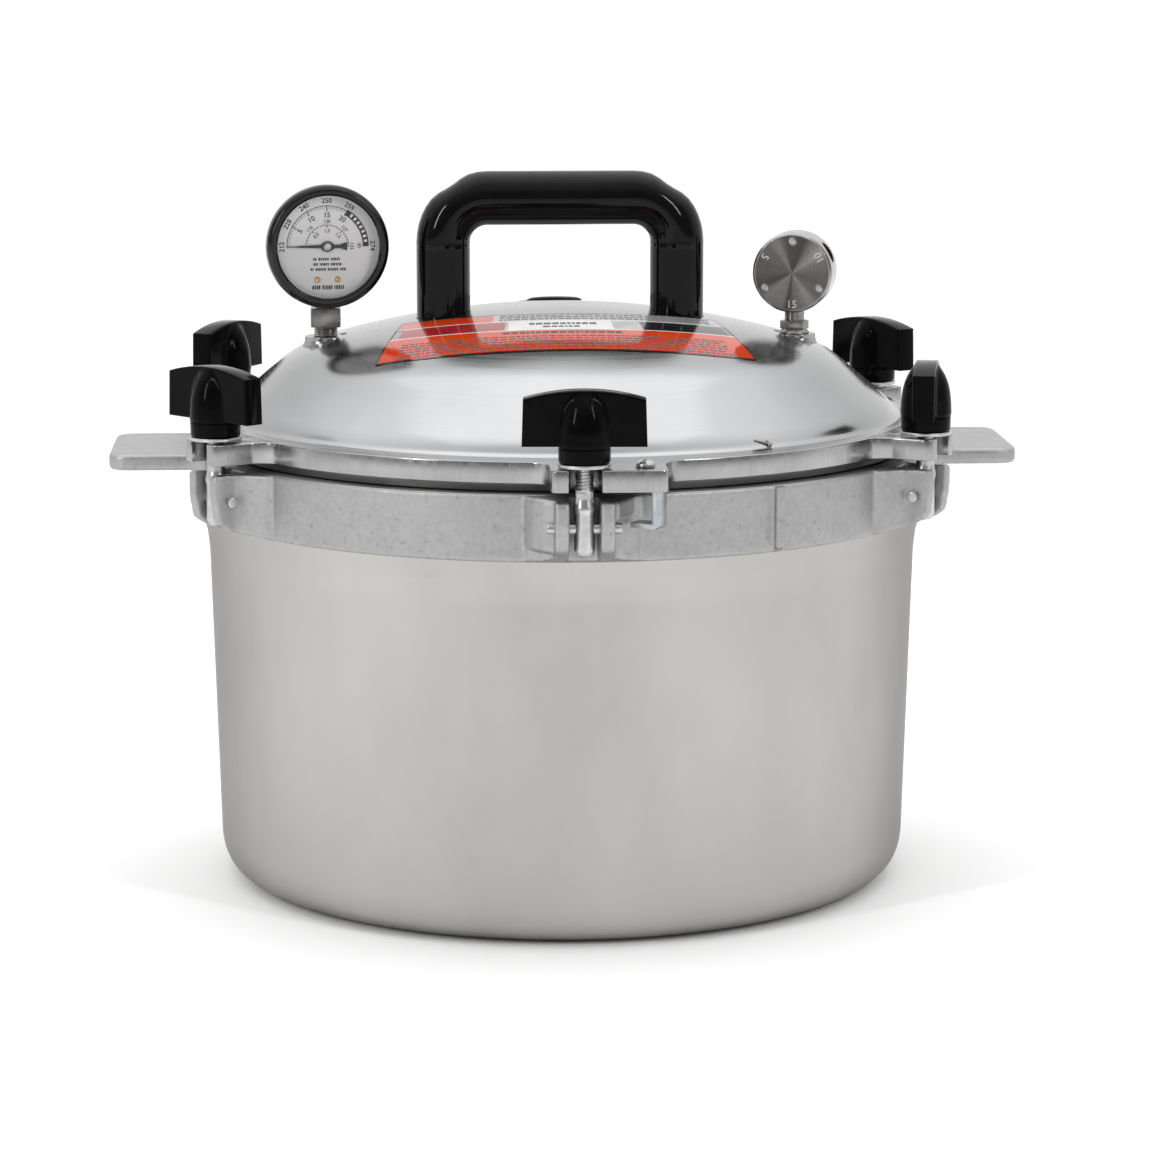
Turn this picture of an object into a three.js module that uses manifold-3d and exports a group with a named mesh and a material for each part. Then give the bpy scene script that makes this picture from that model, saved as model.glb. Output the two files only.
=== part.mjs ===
// A cast-aluminium pressure canner: a deep pot, a domed lid clamped by six swing bolts with wing nuts,
// a dial pressure gauge, a vent pipe with its regulator weight, an over-pressure plug and a rack inside.
// Millimetres, +Z up. The origin is the centre of the pot's underside, the side tabs lie along X, and
// the gauge dial looks towards -Y.

import * as THREE from 'three';
import { mergeVertices } from 'three/addons/utils/BufferGeometryUtils.js';
import Module from 'manifold-3d';

const wasm = await Module();
wasm.setup();

// ---------------------------------------------------------------- driving dimensions

const SEGMENTS = 36;              // facets round the pot and the lid
const GAP = 0.3;                  // clearance between pieces that touch
const degrees = THREE.MathUtils.degToRad;

const POT = {
  rimZ: 199,                      // top face of the rim
  wall: 6.35,
  footR: 158.7,                   // outer radius just above the base corner
  cornerR: 20,
  wallR: 162,                     // outer radius at the top of the turned wall
  flareZ: 152,                    // the wall starts to flare out to the band here
  bandR: 167.2,
  bandZ: 170.6,                   // underside of the cast band
  mouthR: 155.6,
  seatR: 159.4,                   // bevelled metal-to-metal seat, at the rim's top face
  seatZ: 194.4,                   // where the seat's bevel ends on the bore
};
const TAB = { reach: 205.8, halfWidth: 37.5, bottomZ: 191.7, topZ: 198.6, cornerR: 10 };
const RIDGE = { angle: -59.6, width: 5, height: 1.8 };

const LUG_ANGLES = [-90, -30, 30, 90, 150, 210];
const PIVOT = { r: 179.6, z: 187 };                 // hinge pin of each clamp bolt
const EAR = { gap: 6.5, outer: 12.5, endR: 187, topZ: 198, pocketR: 166 };
const PIN = { r: 2.4, halfLength: 15.8 };
const BOLT = { barrelR: 4.6, threadR: 3.9, footZ: 175, neckZ: 197, threadZ: 202, topZ: 240.5 };
const INSERT = { flangeR: 11.3, bottomZ: 213.1, flangeZ: 214.6, sleeveR: 7, topZ: 236, boreR: 4.3 };
const NUT = {
  hubR: 11.1, bottomZ: 214.9, partingZ: 221, wingZ: 221.8, topZ: 245.2, endZ: 241.6,
  halfSpan: 26.1, halfThick: 4.8, boreZ: 242,
};
const WING_TURN = [-3.2, 78.8, -59.2, 16.8, 62.8, -48.2];   // how each wing nut was left

const LID = {
  flangeR: 163, bottomZ: 203, topZ: 212.4, apexZ: 261.5, crownR: 395, skin: 5.6,
  shoulderR: 117, skirtInnerR: 149, skirtZ: 196, skirtR: 156.4, sealR: 162.2,
};
const LUG = { endR: 188, halfWidth: 14.3, slot: 6.7, slotR: 172, corner: 4, hookSide: 34.7 };

const HANDLE = { footX: 53.4, centreX: -0.6, r: 12.25, gripZ: 310.5, bendR: 19, screwR: 3 };
const HOOK = { x: 31.2, y: -180, turn: -33, thick: 2.5, width: 8.5, reach: 11.5, toeZ: 186.6 };
const HOOK_SCREW = { x: 25.6, y: -177, headR: 4.2 };

const GAUGE = { x: -107.8, z: 289.5, turn: 8, bezelR: 28, caseR: 25.9, skin: 0.9 };
const BOSS = { z: 248, r: 9.5, innerZ: 238.5 };     // spot-faced bosses under gauge and vent pipe
const VENT = { x: 107.2, pipeR: 4.5, tipZ: 271, hexZ: 250, hexTopZ: 253.9, hexR: 6.6, boreR: 1.6 };
const WEIGHT = { z: 276, r: 17.9, halfThick: 10, turn: -14, socketR: 5.2 };
const PLUG = { y: 65, headR: 13, headHeight: 2.6, neckR: 6 };
const RACK = { r: 146, z: 18, thick: 1.6, holeR: 9, rings: [[6, 48], [12, 92]] };

// ---------------------------------------------------------------- finishes

const finish = (color, roughness, metalness) => ({ color, roughness, metalness });
const FINISH = {
  castAluminium: finish(0xa9a9a6, 0.55, 1),
  turnedAluminium: finish(0xc4c3bf, 0.35, 1),
  polishedAluminium: finish(0xd4d6d8, 0.18, 1),
  phenolic: finish(0x0c0c0d, 0.15, 0),
  steel: finish(0xb9bab8, 0.25, 1),
  zinc: finish(0xb4bfc2, 0.35, 1),
  blackEnamel: finish(0x101012, 0.25, 0.2),
  glass: finish(0xf2f6f8, 0.05, 0),
  dialWhite: finish(0xf1f1ee, 0.6, 0),
  brass: finish(0xb08d4a, 0.3, 1),
  blackPaint: finish(0x141414, 0.5, 0),
  rubber: finish(0x1a1a1b, 0.7, 0),
};

const canner = new THREE.Group();

function addPiece(name, geometry, look, parent = canner) {
  const mesh = new THREE.Mesh(geometry, new THREE.MeshStandardMaterial(look));
  mesh.name = name;
  parent.add(mesh);
  return mesh;
}

// ---------------------------------------------------------------- geometry helpers

// Bare closed geometry: positions only, shared vertices, no collapsed triangles, faces pointing out.
function closed(source) {
  const bare = source.clone();
  for (const name of Object.keys(bare.attributes)) {
    if (name !== 'position') bare.deleteAttribute(name);
  }
  const merged = mergeVertices(bare, 1e-4);
  const corners = merged.index.array;
  const kept = [];
  for (let i = 0; i < corners.length; i += 3) {
    const [a, b, c] = [corners[i], corners[i + 1], corners[i + 2]];
    if (a !== b && b !== c && c !== a) kept.push(a, b, c);
  }
  const [p, q, r] = [new THREE.Vector3(), new THREE.Vector3(), new THREE.Vector3()];
  let volume = 0;
  for (let i = 0; i < kept.length; i += 3) {
    p.fromBufferAttribute(merged.attributes.position, kept[i]);
    q.fromBufferAttribute(merged.attributes.position, kept[i + 1]);
    r.fromBufferAttribute(merged.attributes.position, kept[i + 2]);
    volume += p.dot(q.cross(r));
  }
  if (volume < 0) kept.reverse();
  merged.setIndex(kept);
  return merged;
}

function solid(source) {
  const geometry = closed(source);
  return new wasm.Manifold(new wasm.Mesh({
    numProp: 3,
    vertProperties: new Float32Array(geometry.attributes.position.array),
    triVerts: new Uint32Array(geometry.index.array),
  }));
}

function meshed(manifold) {
  const mesh = manifold.getMesh();
  const geometry = new THREE.BufferGeometry();
  geometry.setAttribute('position', new THREE.Float32BufferAttribute(mesh.vertProperties, 3));
  geometry.setIndex(Array.from(mesh.triVerts));
  return geometry;
}

// Round solid about Z from (radius, height) pairs; the outline starts and ends on the axis or closes.
function turned(outline, segments = SEGMENTS) {
  const points = outline.map(([r, z]) => new THREE.Vector2(r, z));
  return closed(new THREE.LatheGeometry(points, segments).rotateX(Math.PI / 2));
}

function rod(r, fromZ, toZ, segments = 12) {
  return turned([[0, fromZ], [r, fromZ], [r, toZ], [0, toZ]], segments);
}

// A tube's closed outline.
function sleeve(inner, outer, fromZ, toZ, segments = 16) {
  return turned([[inner, fromZ], [outer, fromZ], [outer, toZ], [inner, toZ], [inner, fromZ]], segments);
}

function outlineShape(points) {
  return new THREE.Shape(points.map(([x, y]) => new THREE.Vector2(x, y)));
}

// Flat plate: an outline in plan, from one height to another.
function plate(shape, fromZ, toZ, curveSegments = 5) {
  const options = { depth: toZ - fromZ, bevelEnabled: false, curveSegments };
  return new THREE.ExtrudeGeometry(shape, options).translate(0, 0, fromZ);
}

// An outline in the X-Z plane, extruded symmetrically along Y.
function slab(shape, halfWidth, curveSegments = 5) {
  const options = { depth: 2 * halfWidth, bevelEnabled: false, curveSegments };
  return new THREE.ExtrudeGeometry(shape, options).translate(0, 0, -halfWidth).rotateX(Math.PI / 2);
}

function block(fromX, toX, fromY, toY, fromZ, toZ) {
  return new THREE.BoxGeometry(toX - fromX, toY - fromY, toZ - fromZ)
    .translate((fromX + toX) / 2, (fromY + toY) / 2, (fromZ + toZ) / 2);
}

// Height of the lid's crown above a radius, for the outer face or an offset of it.
function crownZ(r, offset = 0) {
  const radius = LID.crownR + offset;
  return LID.apexZ - LID.crownR + Math.sqrt(radius * radius - r * r);
}

// ---------------------------------------------------------------- pot

function cornerArc(centreR, centreZ, radius, steps) {
  const points = [];
  for (let i = 0; i <= steps; i += 1) {
    const angle = (Math.PI / 2) * (i / steps);
    points.push([centreR + radius * Math.sin(angle), centreZ - radius * Math.cos(angle)]);
  }
  return points;
}

function potShell() {
  const innerFootR = POT.footR - POT.wall;
  const innerCornerR = POT.cornerR - POT.wall;
  const outer = [
    [0, 0],
    ...cornerArc(POT.footR - POT.cornerR, POT.cornerR, POT.cornerR, 4),
    [POT.wallR, POT.flareZ],
    [POT.wallR + 0.8, POT.flareZ + 9],
    [POT.bandR - 1.2, POT.bandZ],
    [POT.bandR, POT.bandZ + 0.4],
    [POT.bandR, POT.rimZ],
    [POT.seatR, POT.rimZ],
    [POT.mouthR, POT.seatZ],
  ];
  const inner = cornerArc(innerFootR - innerCornerR, POT.wall + innerCornerR, innerCornerR, 3);
  return solid(turned([...outer, ...inner.reverse(), [0, POT.wall]]));
}

// Broad boss on the band that carries one clamp bolt between two ears.
function bossPlan() {
  const side = [
    [158.5, 27], [167, 23], [172, 16.5], [175.4, EAR.outer], [EAR.endR, EAR.outer],
    [EAR.endR, EAR.gap], [EAR.pocketR, EAR.gap],
  ];
  const mirrored = side.map(([u, v]) => [u, -v]).reverse();
  return outlineShape([...side, ...mirrored]);
}

function bossSide() {
  const shape = new THREE.Shape();
  shape.moveTo(150, 170);
  shape.lineTo(168, 171.5);
  shape.quadraticCurveTo(176, 173, 179.5, 175.5);
  shape.quadraticCurveTo(184, 176.5, 184.8, 181);
  shape.lineTo(EAR.endR, EAR.topZ - 2);
  shape.lineTo(EAR.endR - 1, EAR.topZ);
  shape.lineTo(150, EAR.topZ);
  shape.closePath();
  return shape;
}

function potBoss() {
  const body = solid(plate(bossPlan(), 165, EAR.topZ));
  const profile = solid(slab(bossSide(), 30, 3));
  const pinHole = solid(rod(PIN.r + GAP, -30, 30, 10).rotateX(Math.PI / 2).translate(PIVOT.r, 0, PIVOT.z));
  return body.intersect(profile).subtract(pinHole);
}

// The catch beside the front ears, which the lid's hook sits behind when the lid is turned home.
function hookCatch() {
  const plan = outlineShape([
    [-8, -163], [-EAR.outer + 0.5, -163], [EAR.outer - 0.5, -166], [EAR.outer - 0.5, -186.4],
    [14.2, -183], [17.2, -177], [19.6, -172.2], [22, -166.5], [22, -160],
  ]);
  return solid(plate(plan, 191.5, EAR.topZ));
}

function sideTab() {
  const half = TAB.halfWidth;
  const shape = new THREE.Shape();
  shape.moveTo(159.8, -half - 4);
  shape.quadraticCurveTo(164, -half, 172, -half);
  shape.lineTo(TAB.reach - TAB.cornerR, -half);
  shape.quadraticCurveTo(TAB.reach, -half, TAB.reach, -half + TAB.cornerR);
  shape.lineTo(TAB.reach, half - TAB.cornerR);
  shape.quadraticCurveTo(TAB.reach, half, TAB.reach - TAB.cornerR, half);
  shape.lineTo(172, half);
  shape.quadraticCurveTo(164, half, 159.8, half + 4);
  shape.closePath();
  return solid(plate(shape, TAB.bottomZ, TAB.topZ, 4));
}

function makePot() {
  let pot = potShell();
  const pocket = block(EAR.pocketR, EAR.endR, -EAR.gap, EAR.gap, 173.5, POT.rimZ + 1);
  pot = pot.add(sideTab()).add(sideTab().rotate([0, 0, 180]));
  pot = pot.add(hookCatch());
  for (const angle of LUG_ANGLES) {
    pot = pot.add(potBoss().rotate([0, 0, angle]));
    pot = pot.subtract(solid(pocket).rotate([0, 0, angle]));
  }
  const ridge = block(162, POT.bandR + RIDGE.height, -RIDGE.width / 2, RIDGE.width / 2,
    POT.bandZ + 0.5, POT.rimZ);
  pot = pot.add(solid(ridge).rotate([0, 0, RIDGE.angle]));
  addPiece('pot_body', meshed(pot), FINISH.turnedAluminium);
}

function makeRack() {
  const top = RACK.z + RACK.thick;
  let rack = solid(turned([
    [0, RACK.z], [RACK.r - 4, RACK.z], [RACK.r - 3, POT.wall + 2.6], [RACK.r - 1.4, POT.wall + 2.6],
    [RACK.r - 2, top - 0.5], [RACK.r - 3, top], [0, top],
  ]));
  for (const [count, ringR] of RACK.rings) {
    for (let i = 0; i < count; i += 1) {
      const angle = (2 * Math.PI * i) / count;
      const hole = rod(RACK.holeR, RACK.z - 2, top + 2, 8);
      rack = rack.subtract(solid(hole.translate(ringR * Math.cos(angle), ringR * Math.sin(angle), 0)));
    }
  }
  addPiece('canning_rack', meshed(rack), FINISH.turnedAluminium);
}

// ---------------------------------------------------------------- clamps

function turnedOut(angle) {
  const group = new THREE.Group();
  group.rotation.z = degrees(angle);
  canner.add(group);
  return group;
}

function clampBolt() {
  const bolt = solid(turned([
    [0, BOLT.footZ], [2.6, BOLT.footZ + 0.5], [BOLT.barrelR, BOLT.footZ + 2.4],
    [BOLT.barrelR, BOLT.neckZ], [BOLT.threadR, BOLT.threadZ],
    [BOLT.threadR, BOLT.topZ], [0, BOLT.topZ],
  ], 10));
  const eye = rod(PIN.r + GAP, -10, 10, 10).rotateX(Math.PI / 2).translate(0, 0, PIVOT.z);
  return meshed(bolt.subtract(solid(eye)));
}

function nutInsert() {
  return turned([
    [INSERT.boreR, INSERT.bottomZ], [INSERT.flangeR, INSERT.bottomZ],
    [INSERT.flangeR, INSERT.flangeZ], [INSERT.sleeveR, INSERT.flangeZ],
    [INSERT.sleeveR, INSERT.topZ], [INSERT.boreR, INSERT.topZ], [INSERT.boreR, INSERT.bottomZ],
  ], 12);
}

function wingNut() {
  const hub = solid(turned([
    [0, NUT.bottomZ], [NUT.hubR, NUT.bottomZ], [NUT.hubR, NUT.partingZ], [10.4, 232],
    [8.2, 239], [0, 243.5],
  ], 12));
  const side = new THREE.Shape();
  side.moveTo(-NUT.halfSpan, NUT.wingZ);
  side.lineTo(NUT.halfSpan, NUT.wingZ);
  side.lineTo(NUT.halfSpan - 0.5, NUT.endZ - 0.6);
  side.lineTo(NUT.halfSpan - 1.2, NUT.endZ);
  side.quadraticCurveTo(0, 2 * NUT.topZ - NUT.endZ, -NUT.halfSpan + 1.2, NUT.endZ);
  side.lineTo(-NUT.halfSpan + 0.5, NUT.endZ - 0.6);
  side.closePath();
  const sleeveBore = solid(rod(INSERT.sleeveR + GAP, NUT.bottomZ - 1, INSERT.topZ + GAP, 12));
  const boltBore = solid(rod(INSERT.boreR + GAP, INSERT.topZ - 1, NUT.boreZ, 12));
  return hub.add(solid(slab(side, NUT.halfThick, 6))).subtract(sleeveBore).subtract(boltBore);
}

function makeClamps() {
  LUG_ANGLES.forEach((angle, i) => {
    const lug = turnedOut(angle);
    const pin = turned([
      [0, -PIN.halfLength], [PIN.r - 0.5, -PIN.halfLength], [PIN.r, 0.5 - PIN.halfLength],
      [PIN.r, PIN.halfLength - 0.5], [PIN.r - 0.5, PIN.halfLength], [0, PIN.halfLength],
    ], 10);
    addPiece(`hinge_pin_${i + 1}`, pin.rotateX(Math.PI / 2).translate(PIVOT.r, 0, PIVOT.z),
      FINISH.steel, lug);
    addPiece(`clamp_bolt_${i + 1}`, clampBolt().translate(PIVOT.r, 0, 0), FINISH.steel, lug);
    addPiece(`nut_insert_${i + 1}`, nutInsert().translate(PIVOT.r, 0, 0), FINISH.steel, lug);
    const turn = WING_TURN[i] - angle;
    const nut = wingNut().rotate([0, 0, turn]).translate([PIVOT.r, 0, 0]);
    addPiece(`wing_nut_${i + 1}`, meshed(nut), FINISH.phenolic, lug);
  });
}

// ---------------------------------------------------------------- lid

function lidShell() {
  const under = [0, 45, 85, 110].map((r) => [r, crownZ(r, -LID.skin)]);
  const crown = [100, 78, 52, 26, 0].map((r) => [r, crownZ(r)]);
  return solid(turned([
    ...under, [118.5, 236.8], [126.2, 231.6], [142.8, 216.6], [LID.skirtInnerR, 208],
    [LID.skirtInnerR, LID.skirtZ], [LID.skirtR, LID.skirtZ], [LID.sealR, LID.bottomZ],
    [LID.flangeR, LID.bottomZ], [LID.flangeR, LID.topZ], [158.5, LID.topZ], [154.4, 214],
    [150.5, 217.5], [130.5, 235.7], [125, 240.2], [LID.shoulderR, crownZ(LID.shoulderR)], ...crown,
  ]));
}

// Slotted lug of the lid's flange, its open slot facing out; the front one is wider on one side.
function lugPlan(leftWidth, rightWidth) {
  const shape = new THREE.Shape();
  const startR = 152;
  shape.moveTo(startR, -leftWidth - 13);
  shape.lineTo(160.2, -leftWidth - 13);
  shape.quadraticCurveTo(163.6, -leftWidth, 172, -leftWidth);
  shape.lineTo(LUG.endR - LUG.corner, -leftWidth);
  shape.quadraticCurveTo(LUG.endR, -leftWidth, LUG.endR, -leftWidth + LUG.corner);
  shape.lineTo(LUG.endR, -LUG.slot);
  shape.lineTo(LUG.slotR + LUG.slot, -LUG.slot);
  shape.absarc(LUG.slotR + LUG.slot, 0, LUG.slot, -Math.PI / 2, -1.5 * Math.PI, true);
  shape.lineTo(LUG.endR, LUG.slot);
  shape.lineTo(LUG.endR, rightWidth - LUG.corner);
  shape.quadraticCurveTo(LUG.endR, rightWidth, LUG.endR - LUG.corner, rightWidth);
  shape.lineTo(172, rightWidth);
  shape.quadraticCurveTo(163, rightWidth + 1, 156, rightWidth + 10);
  shape.lineTo(startR, rightWidth + 10);
  shape.closePath();
  return shape;
}

// The lug's outer top edge is eased, so that the nut clears it as the bolt swings out.
function lugSection() {
  return outlineShape([
    [150, LID.bottomZ], [LUG.endR + 1, LID.bottomZ], [LUG.endR + 1, LID.topZ - 1.3],
    [LUG.endR - 3.4, LID.topZ], [150, LID.topZ],
  ]);
}

function lidLug(leftWidth, rightWidth) {
  const body = solid(plate(lugPlan(leftWidth, rightWidth), LID.bottomZ, LID.topZ, 6));
  return body.intersect(solid(slab(lugSection(), 60)));
}

function hookRecess() {
  const leg = block(-9.8, 1.8, -HOOK.width / 2 - GAP, HOOK.width / 2 + GAP,
    LID.bottomZ - 1, LID.bottomZ + HOOK.thick + GAP);
  return solid(leg.rotateZ(degrees(HOOK.turn)).translate(HOOK.x, HOOK.y, 0));
}

function lidBoss(x) {
  const pad = solid(rod(BOSS.r, BOSS.innerZ, BOSS.z, 20)).translate([x, 0, 0]);
  const spotFace = solid(rod(BOSS.r + 0.02, BOSS.z, BOSS.z + 6, 20)).translate([x, 0, 0]);
  return { pad, spotFace };
}

// Places something along the crown's own normal at the over-pressure plug.
const PLUG_TILT = Math.asin(PLUG.y / LID.crownR);
function atPlug(geometry) {
  return geometry.rotateX(-PLUG_TILT).translate(0, PLUG.y, crownZ(PLUG.y));
}

function makeLid() {
  let lid = lidShell();
  for (const angle of LUG_ANGLES) {
    const rightWidth = angle === -90 ? LUG.hookSide : LUG.halfWidth;
    lid = lid.add(lidLug(LUG.halfWidth, rightWidth).rotate([0, 0, angle]));
  }
  for (const x of [GAUGE.x, VENT.x]) {
    const { pad, spotFace } = lidBoss(x);
    lid = lid.add(pad).subtract(spotFace);
  }
  for (const side of [-1, 1]) {
    const x = HANDLE.centreX + side * HANDLE.footX;
    const pad = rod(9, 249.5, 255.5, 16).translate(x, 0, 0);
    const hole = rod(HANDLE.screwR + GAP, 240, 270).translate(x, 0, 0);
    lid = lid.add(solid(pad)).subtract(solid(hole));
  }
  lid = lid.subtract(solid(rod(5.5 + GAP, 230, 260, 16).translate(GAUGE.x, 0, 0)));
  lid = lid.subtract(solid(rod(VENT.pipeR + GAP, 230, 260).translate(VENT.x, 0, 0)));
  lid = lid.subtract(solid(atPlug(rod(PLUG.neckR + GAP, -15, 5, 16))));
  lid = lid.subtract(hookRecess());
  lid = lid.subtract(solid(rod(2.3, 200, 215, 10).translate(HOOK_SCREW.x, HOOK_SCREW.y, 0)));
  addPiece('lid', meshed(lid), FINISH.polishedAluminium);
}

// Moulded bail handle on two feet that follow the crown, screwed on from inside the lid.
function makeHandle() {
  const { footX, centreX, r, gripZ, bendR } = HANDLE;
  const foot = 250;
  const path = new THREE.CurvePath();
  const at = (x, z) => new THREE.Vector3(x, 0, z);
  path.add(new THREE.LineCurve3(at(-footX, foot), at(-footX, gripZ - bendR)));
  path.add(new THREE.QuadraticBezierCurve3(at(-footX, gripZ - bendR), at(-footX, gripZ),
    at(-footX + bendR, gripZ)));
  path.add(new THREE.LineCurve3(at(-footX + bendR, gripZ), at(footX - bendR, gripZ)));
  path.add(new THREE.QuadraticBezierCurve3(at(footX - bendR, gripZ), at(footX, gripZ),
    at(footX, gripZ - bendR)));
  path.add(new THREE.LineCurve3(at(footX, gripZ - bendR), at(footX, foot)));
  const ring = new THREE.Shape();
  ring.absarc(0, 0, r, 0, 2 * Math.PI);
  const tube = new THREE.ExtrudeGeometry(ring, { extrudePath: path, steps: 16, curveSegments: 6 });
  const crown = turned([
    [0, 230], [110, 230], ...[110, 80, 50, 25, 0].map((x) => [x, crownZ(x, GAP)]),
  ]);
  let handle = solid(tube).translate([centreX, 0, 0]).subtract(solid(crown));
  for (const side of [-1, 1]) {
    const x = centreX + side * footX;
    const hole = rod(HANDLE.screwR + GAP, 240, 278).translate(x, 0, 0);
    handle = handle.subtract(solid(hole));
    const name = side < 0 ? 'handle_screw_left' : 'handle_screw_right';
    const screw = turned([
      [0, 245], [3.5, 245.2], [6, 247], [6, 249.2], [HANDLE.screwR, 249.2],
      [HANDLE.screwR, 276], [0, 277.5],
    ], 12);
    addPiece(name, screw.translate(x, 0, 0), FINISH.steel);
  }
  addPiece('top_handle', meshed(handle), FINISH.phenolic);
}

// Bent strip under the front lug: a leg let into the lug, a drop, and a toe that turns in.
function makeHook() {
  const { thick, width, reach, toeZ, turn, x, y } = HOOK;
  const top = LID.bottomZ + thick;
  const half = thick / 2;
  const bend = 2.2;
  const strip = new THREE.Shape();
  strip.moveTo(-9.2, top);
  strip.lineTo(half - 1, top);
  strip.lineTo(half, top - 1);
  strip.lineTo(half, toeZ + bend);
  strip.quadraticCurveTo(half, toeZ, half - bend, toeZ);
  strip.lineTo(-reach, toeZ);
  strip.lineTo(-reach, toeZ + thick);
  strip.lineTo(-half, toeZ + thick);
  strip.lineTo(-half, LID.bottomZ);
  strip.lineTo(-9.2, LID.bottomZ);
  strip.closePath();
  const bent = slab(strip, width / 2, 3).rotateZ(degrees(turn)).translate(x, y, 0);
  const hole = rod(2.3, 200, 210, 10).translate(HOOK_SCREW.x, HOOK_SCREW.y, 0);
  addPiece('hold_down_hook', meshed(solid(bent).subtract(solid(hole))), FINISH.zinc);

  const { headR } = HOOK_SCREW;
  const seat = LID.topZ + GAP;
  const screw = solid(turned([
    [0, LID.bottomZ + 0.2], [2, LID.bottomZ + 0.2], [2, seat], [headR, seat], [headR, seat + 1],
    [3, seat + 2.3], [1.4, seat + 2.7], [0, seat + 2.8],
  ], 12));
  const slot = solid(block(-6, 6, -0.5, 0.5, seat + 1.2, seat + 4).rotateZ(degrees(70)));
  const slotted = screw.subtract(slot).translate([HOOK_SCREW.x, HOOK_SCREW.y, 0]);
  addPiece('hook_screw', meshed(slotted), FINISH.steel);
}

// ---------------------------------------------------------------- pressure gauge

// Gauge pieces are turned about the dial's own axis: depth runs from the glass (negative) to the back.
function gaugeGroup() {
  const group = new THREE.Group();
  group.position.set(GAUGE.x, 0, GAUGE.z);
  group.rotation.z = degrees(GAUGE.turn);
  canner.add(group);
  return group;
}

function dialTurned(outline, segments = 24) {
  return turned(outline, segments).rotateX(-Math.PI / 2);
}

const DIAL_Y = { bezelFront: -13.2, glass: -12, caseFront: -9.8, dial: -7.9, gears: -4.4, back: 10 };
const GEAR = { module: 0.5, pinionTeeth: 10, sectorTeeth: 30, thick: 1.6, play: 0.16 };
const SECTOR_CENTRE = -(GEAR.module * (GEAR.pinionTeeth + GEAR.sectorTeeth)) / 2;

// One gear outline with straight-sided teeth, from one tooth number to another.
function toothRing(teeth, fromTooth, toTooth, phase) {
  const pitchR = (GEAR.module * teeth) / 2;
  const rootR = pitchR - 1.25 * GEAR.module;
  const tipR = pitchR + 0.9 * GEAR.module;
  const step = (2 * Math.PI) / teeth;
  const points = [];
  for (let tooth = fromTooth; tooth <= toTooth; tooth += 1) {
    const middle = phase + tooth * step;
    const rootHalf = step * 0.3 - GEAR.play / pitchR;
    const tipHalf = step * 0.11;
    points.push([rootR, middle - rootHalf], [tipR, middle - tipHalf], [tipR, middle + tipHalf],
      [rootR, middle + rootHalf]);
  }
  return points.map(([r, angle]) => [r * Math.cos(angle), r * Math.sin(angle)]);
}

function gearPlate(points, hole, fromY) {
  const shape = outlineShape(points);
  const cut = new THREE.Path();
  cut.absarc(0, 0, hole, 0, 2 * Math.PI, true);
  shape.holes.push(cut);
  return plate(shape, 0, GEAR.thick, 5).rotateX(Math.PI / 2).translate(0, fromY + GEAR.thick, 0);
}

function makeGaugeMovement(group) {
  const arbor = solid(dialTurned([
    [0, -8.6], [0.7, -8.6], [0.7, -0.6], [0, -0.6],
  ], 10));
  const pinionPoints = toothRing(GEAR.pinionTeeth, 0, GEAR.pinionTeeth - 1, -Math.PI / 2);
  const pinion = solid(plate(outlineShape(pinionPoints), 0, GEAR.thick).rotateX(Math.PI / 2)
    .translate(0, DIAL_Y.gears + GEAR.thick, 0));
  addPiece('pointer_arbor', meshed(arbor.add(pinion)), FINISH.brass, group);

  const toothPhase = Math.PI / 2 + Math.PI / GEAR.sectorTeeth;
  const arc = toothRing(GEAR.sectorTeeth, -7, 1, toothPhase);
  const sector = gearPlate([...arc, [-3, -1.6], [0, -2.6], [2.4, -1.2]], 1, DIAL_Y.gears);
  addPiece('sector_gear', closed(sector.translate(0, 0, SECTOR_CENTRE)), FINISH.brass, group);

  const frame = solid(block(-5, 5, -2, -0.9, -15.5, 4));
  const pivot = solid(rod(0.75, -2.5, 5, 10).rotateX(Math.PI / 2).translate(0, -1, SECTOR_CENTRE));
  const shaftHole = solid(rod(1.05, -6, 6, 10).rotateX(Math.PI / 2));
  addPiece('movement_plate', meshed(frame.add(pivot).subtract(shaftHole)), FINISH.brass, group);
}

function bourdonTube() {
  const ringR = 19;
  const from = degrees(-80);
  const to = degrees(205);
  const points = [];
  for (let i = 0; i <= 14; i += 1) {
    const angle = from + ((to - from) * i) / 14;
    points.push(new THREE.Vector3(ringR * Math.cos(angle), 4, ringR * Math.sin(angle)));
  }
  const path = new THREE.CatmullRomCurve3(points);
  const section = new THREE.Shape();
  section.absellipse(0, 0, 1.3, 2.8, 0, 2 * Math.PI);
  return new THREE.ExtrudeGeometry(section, { extrudePath: path, steps: 14, curveSegments: 3 });
}

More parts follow.
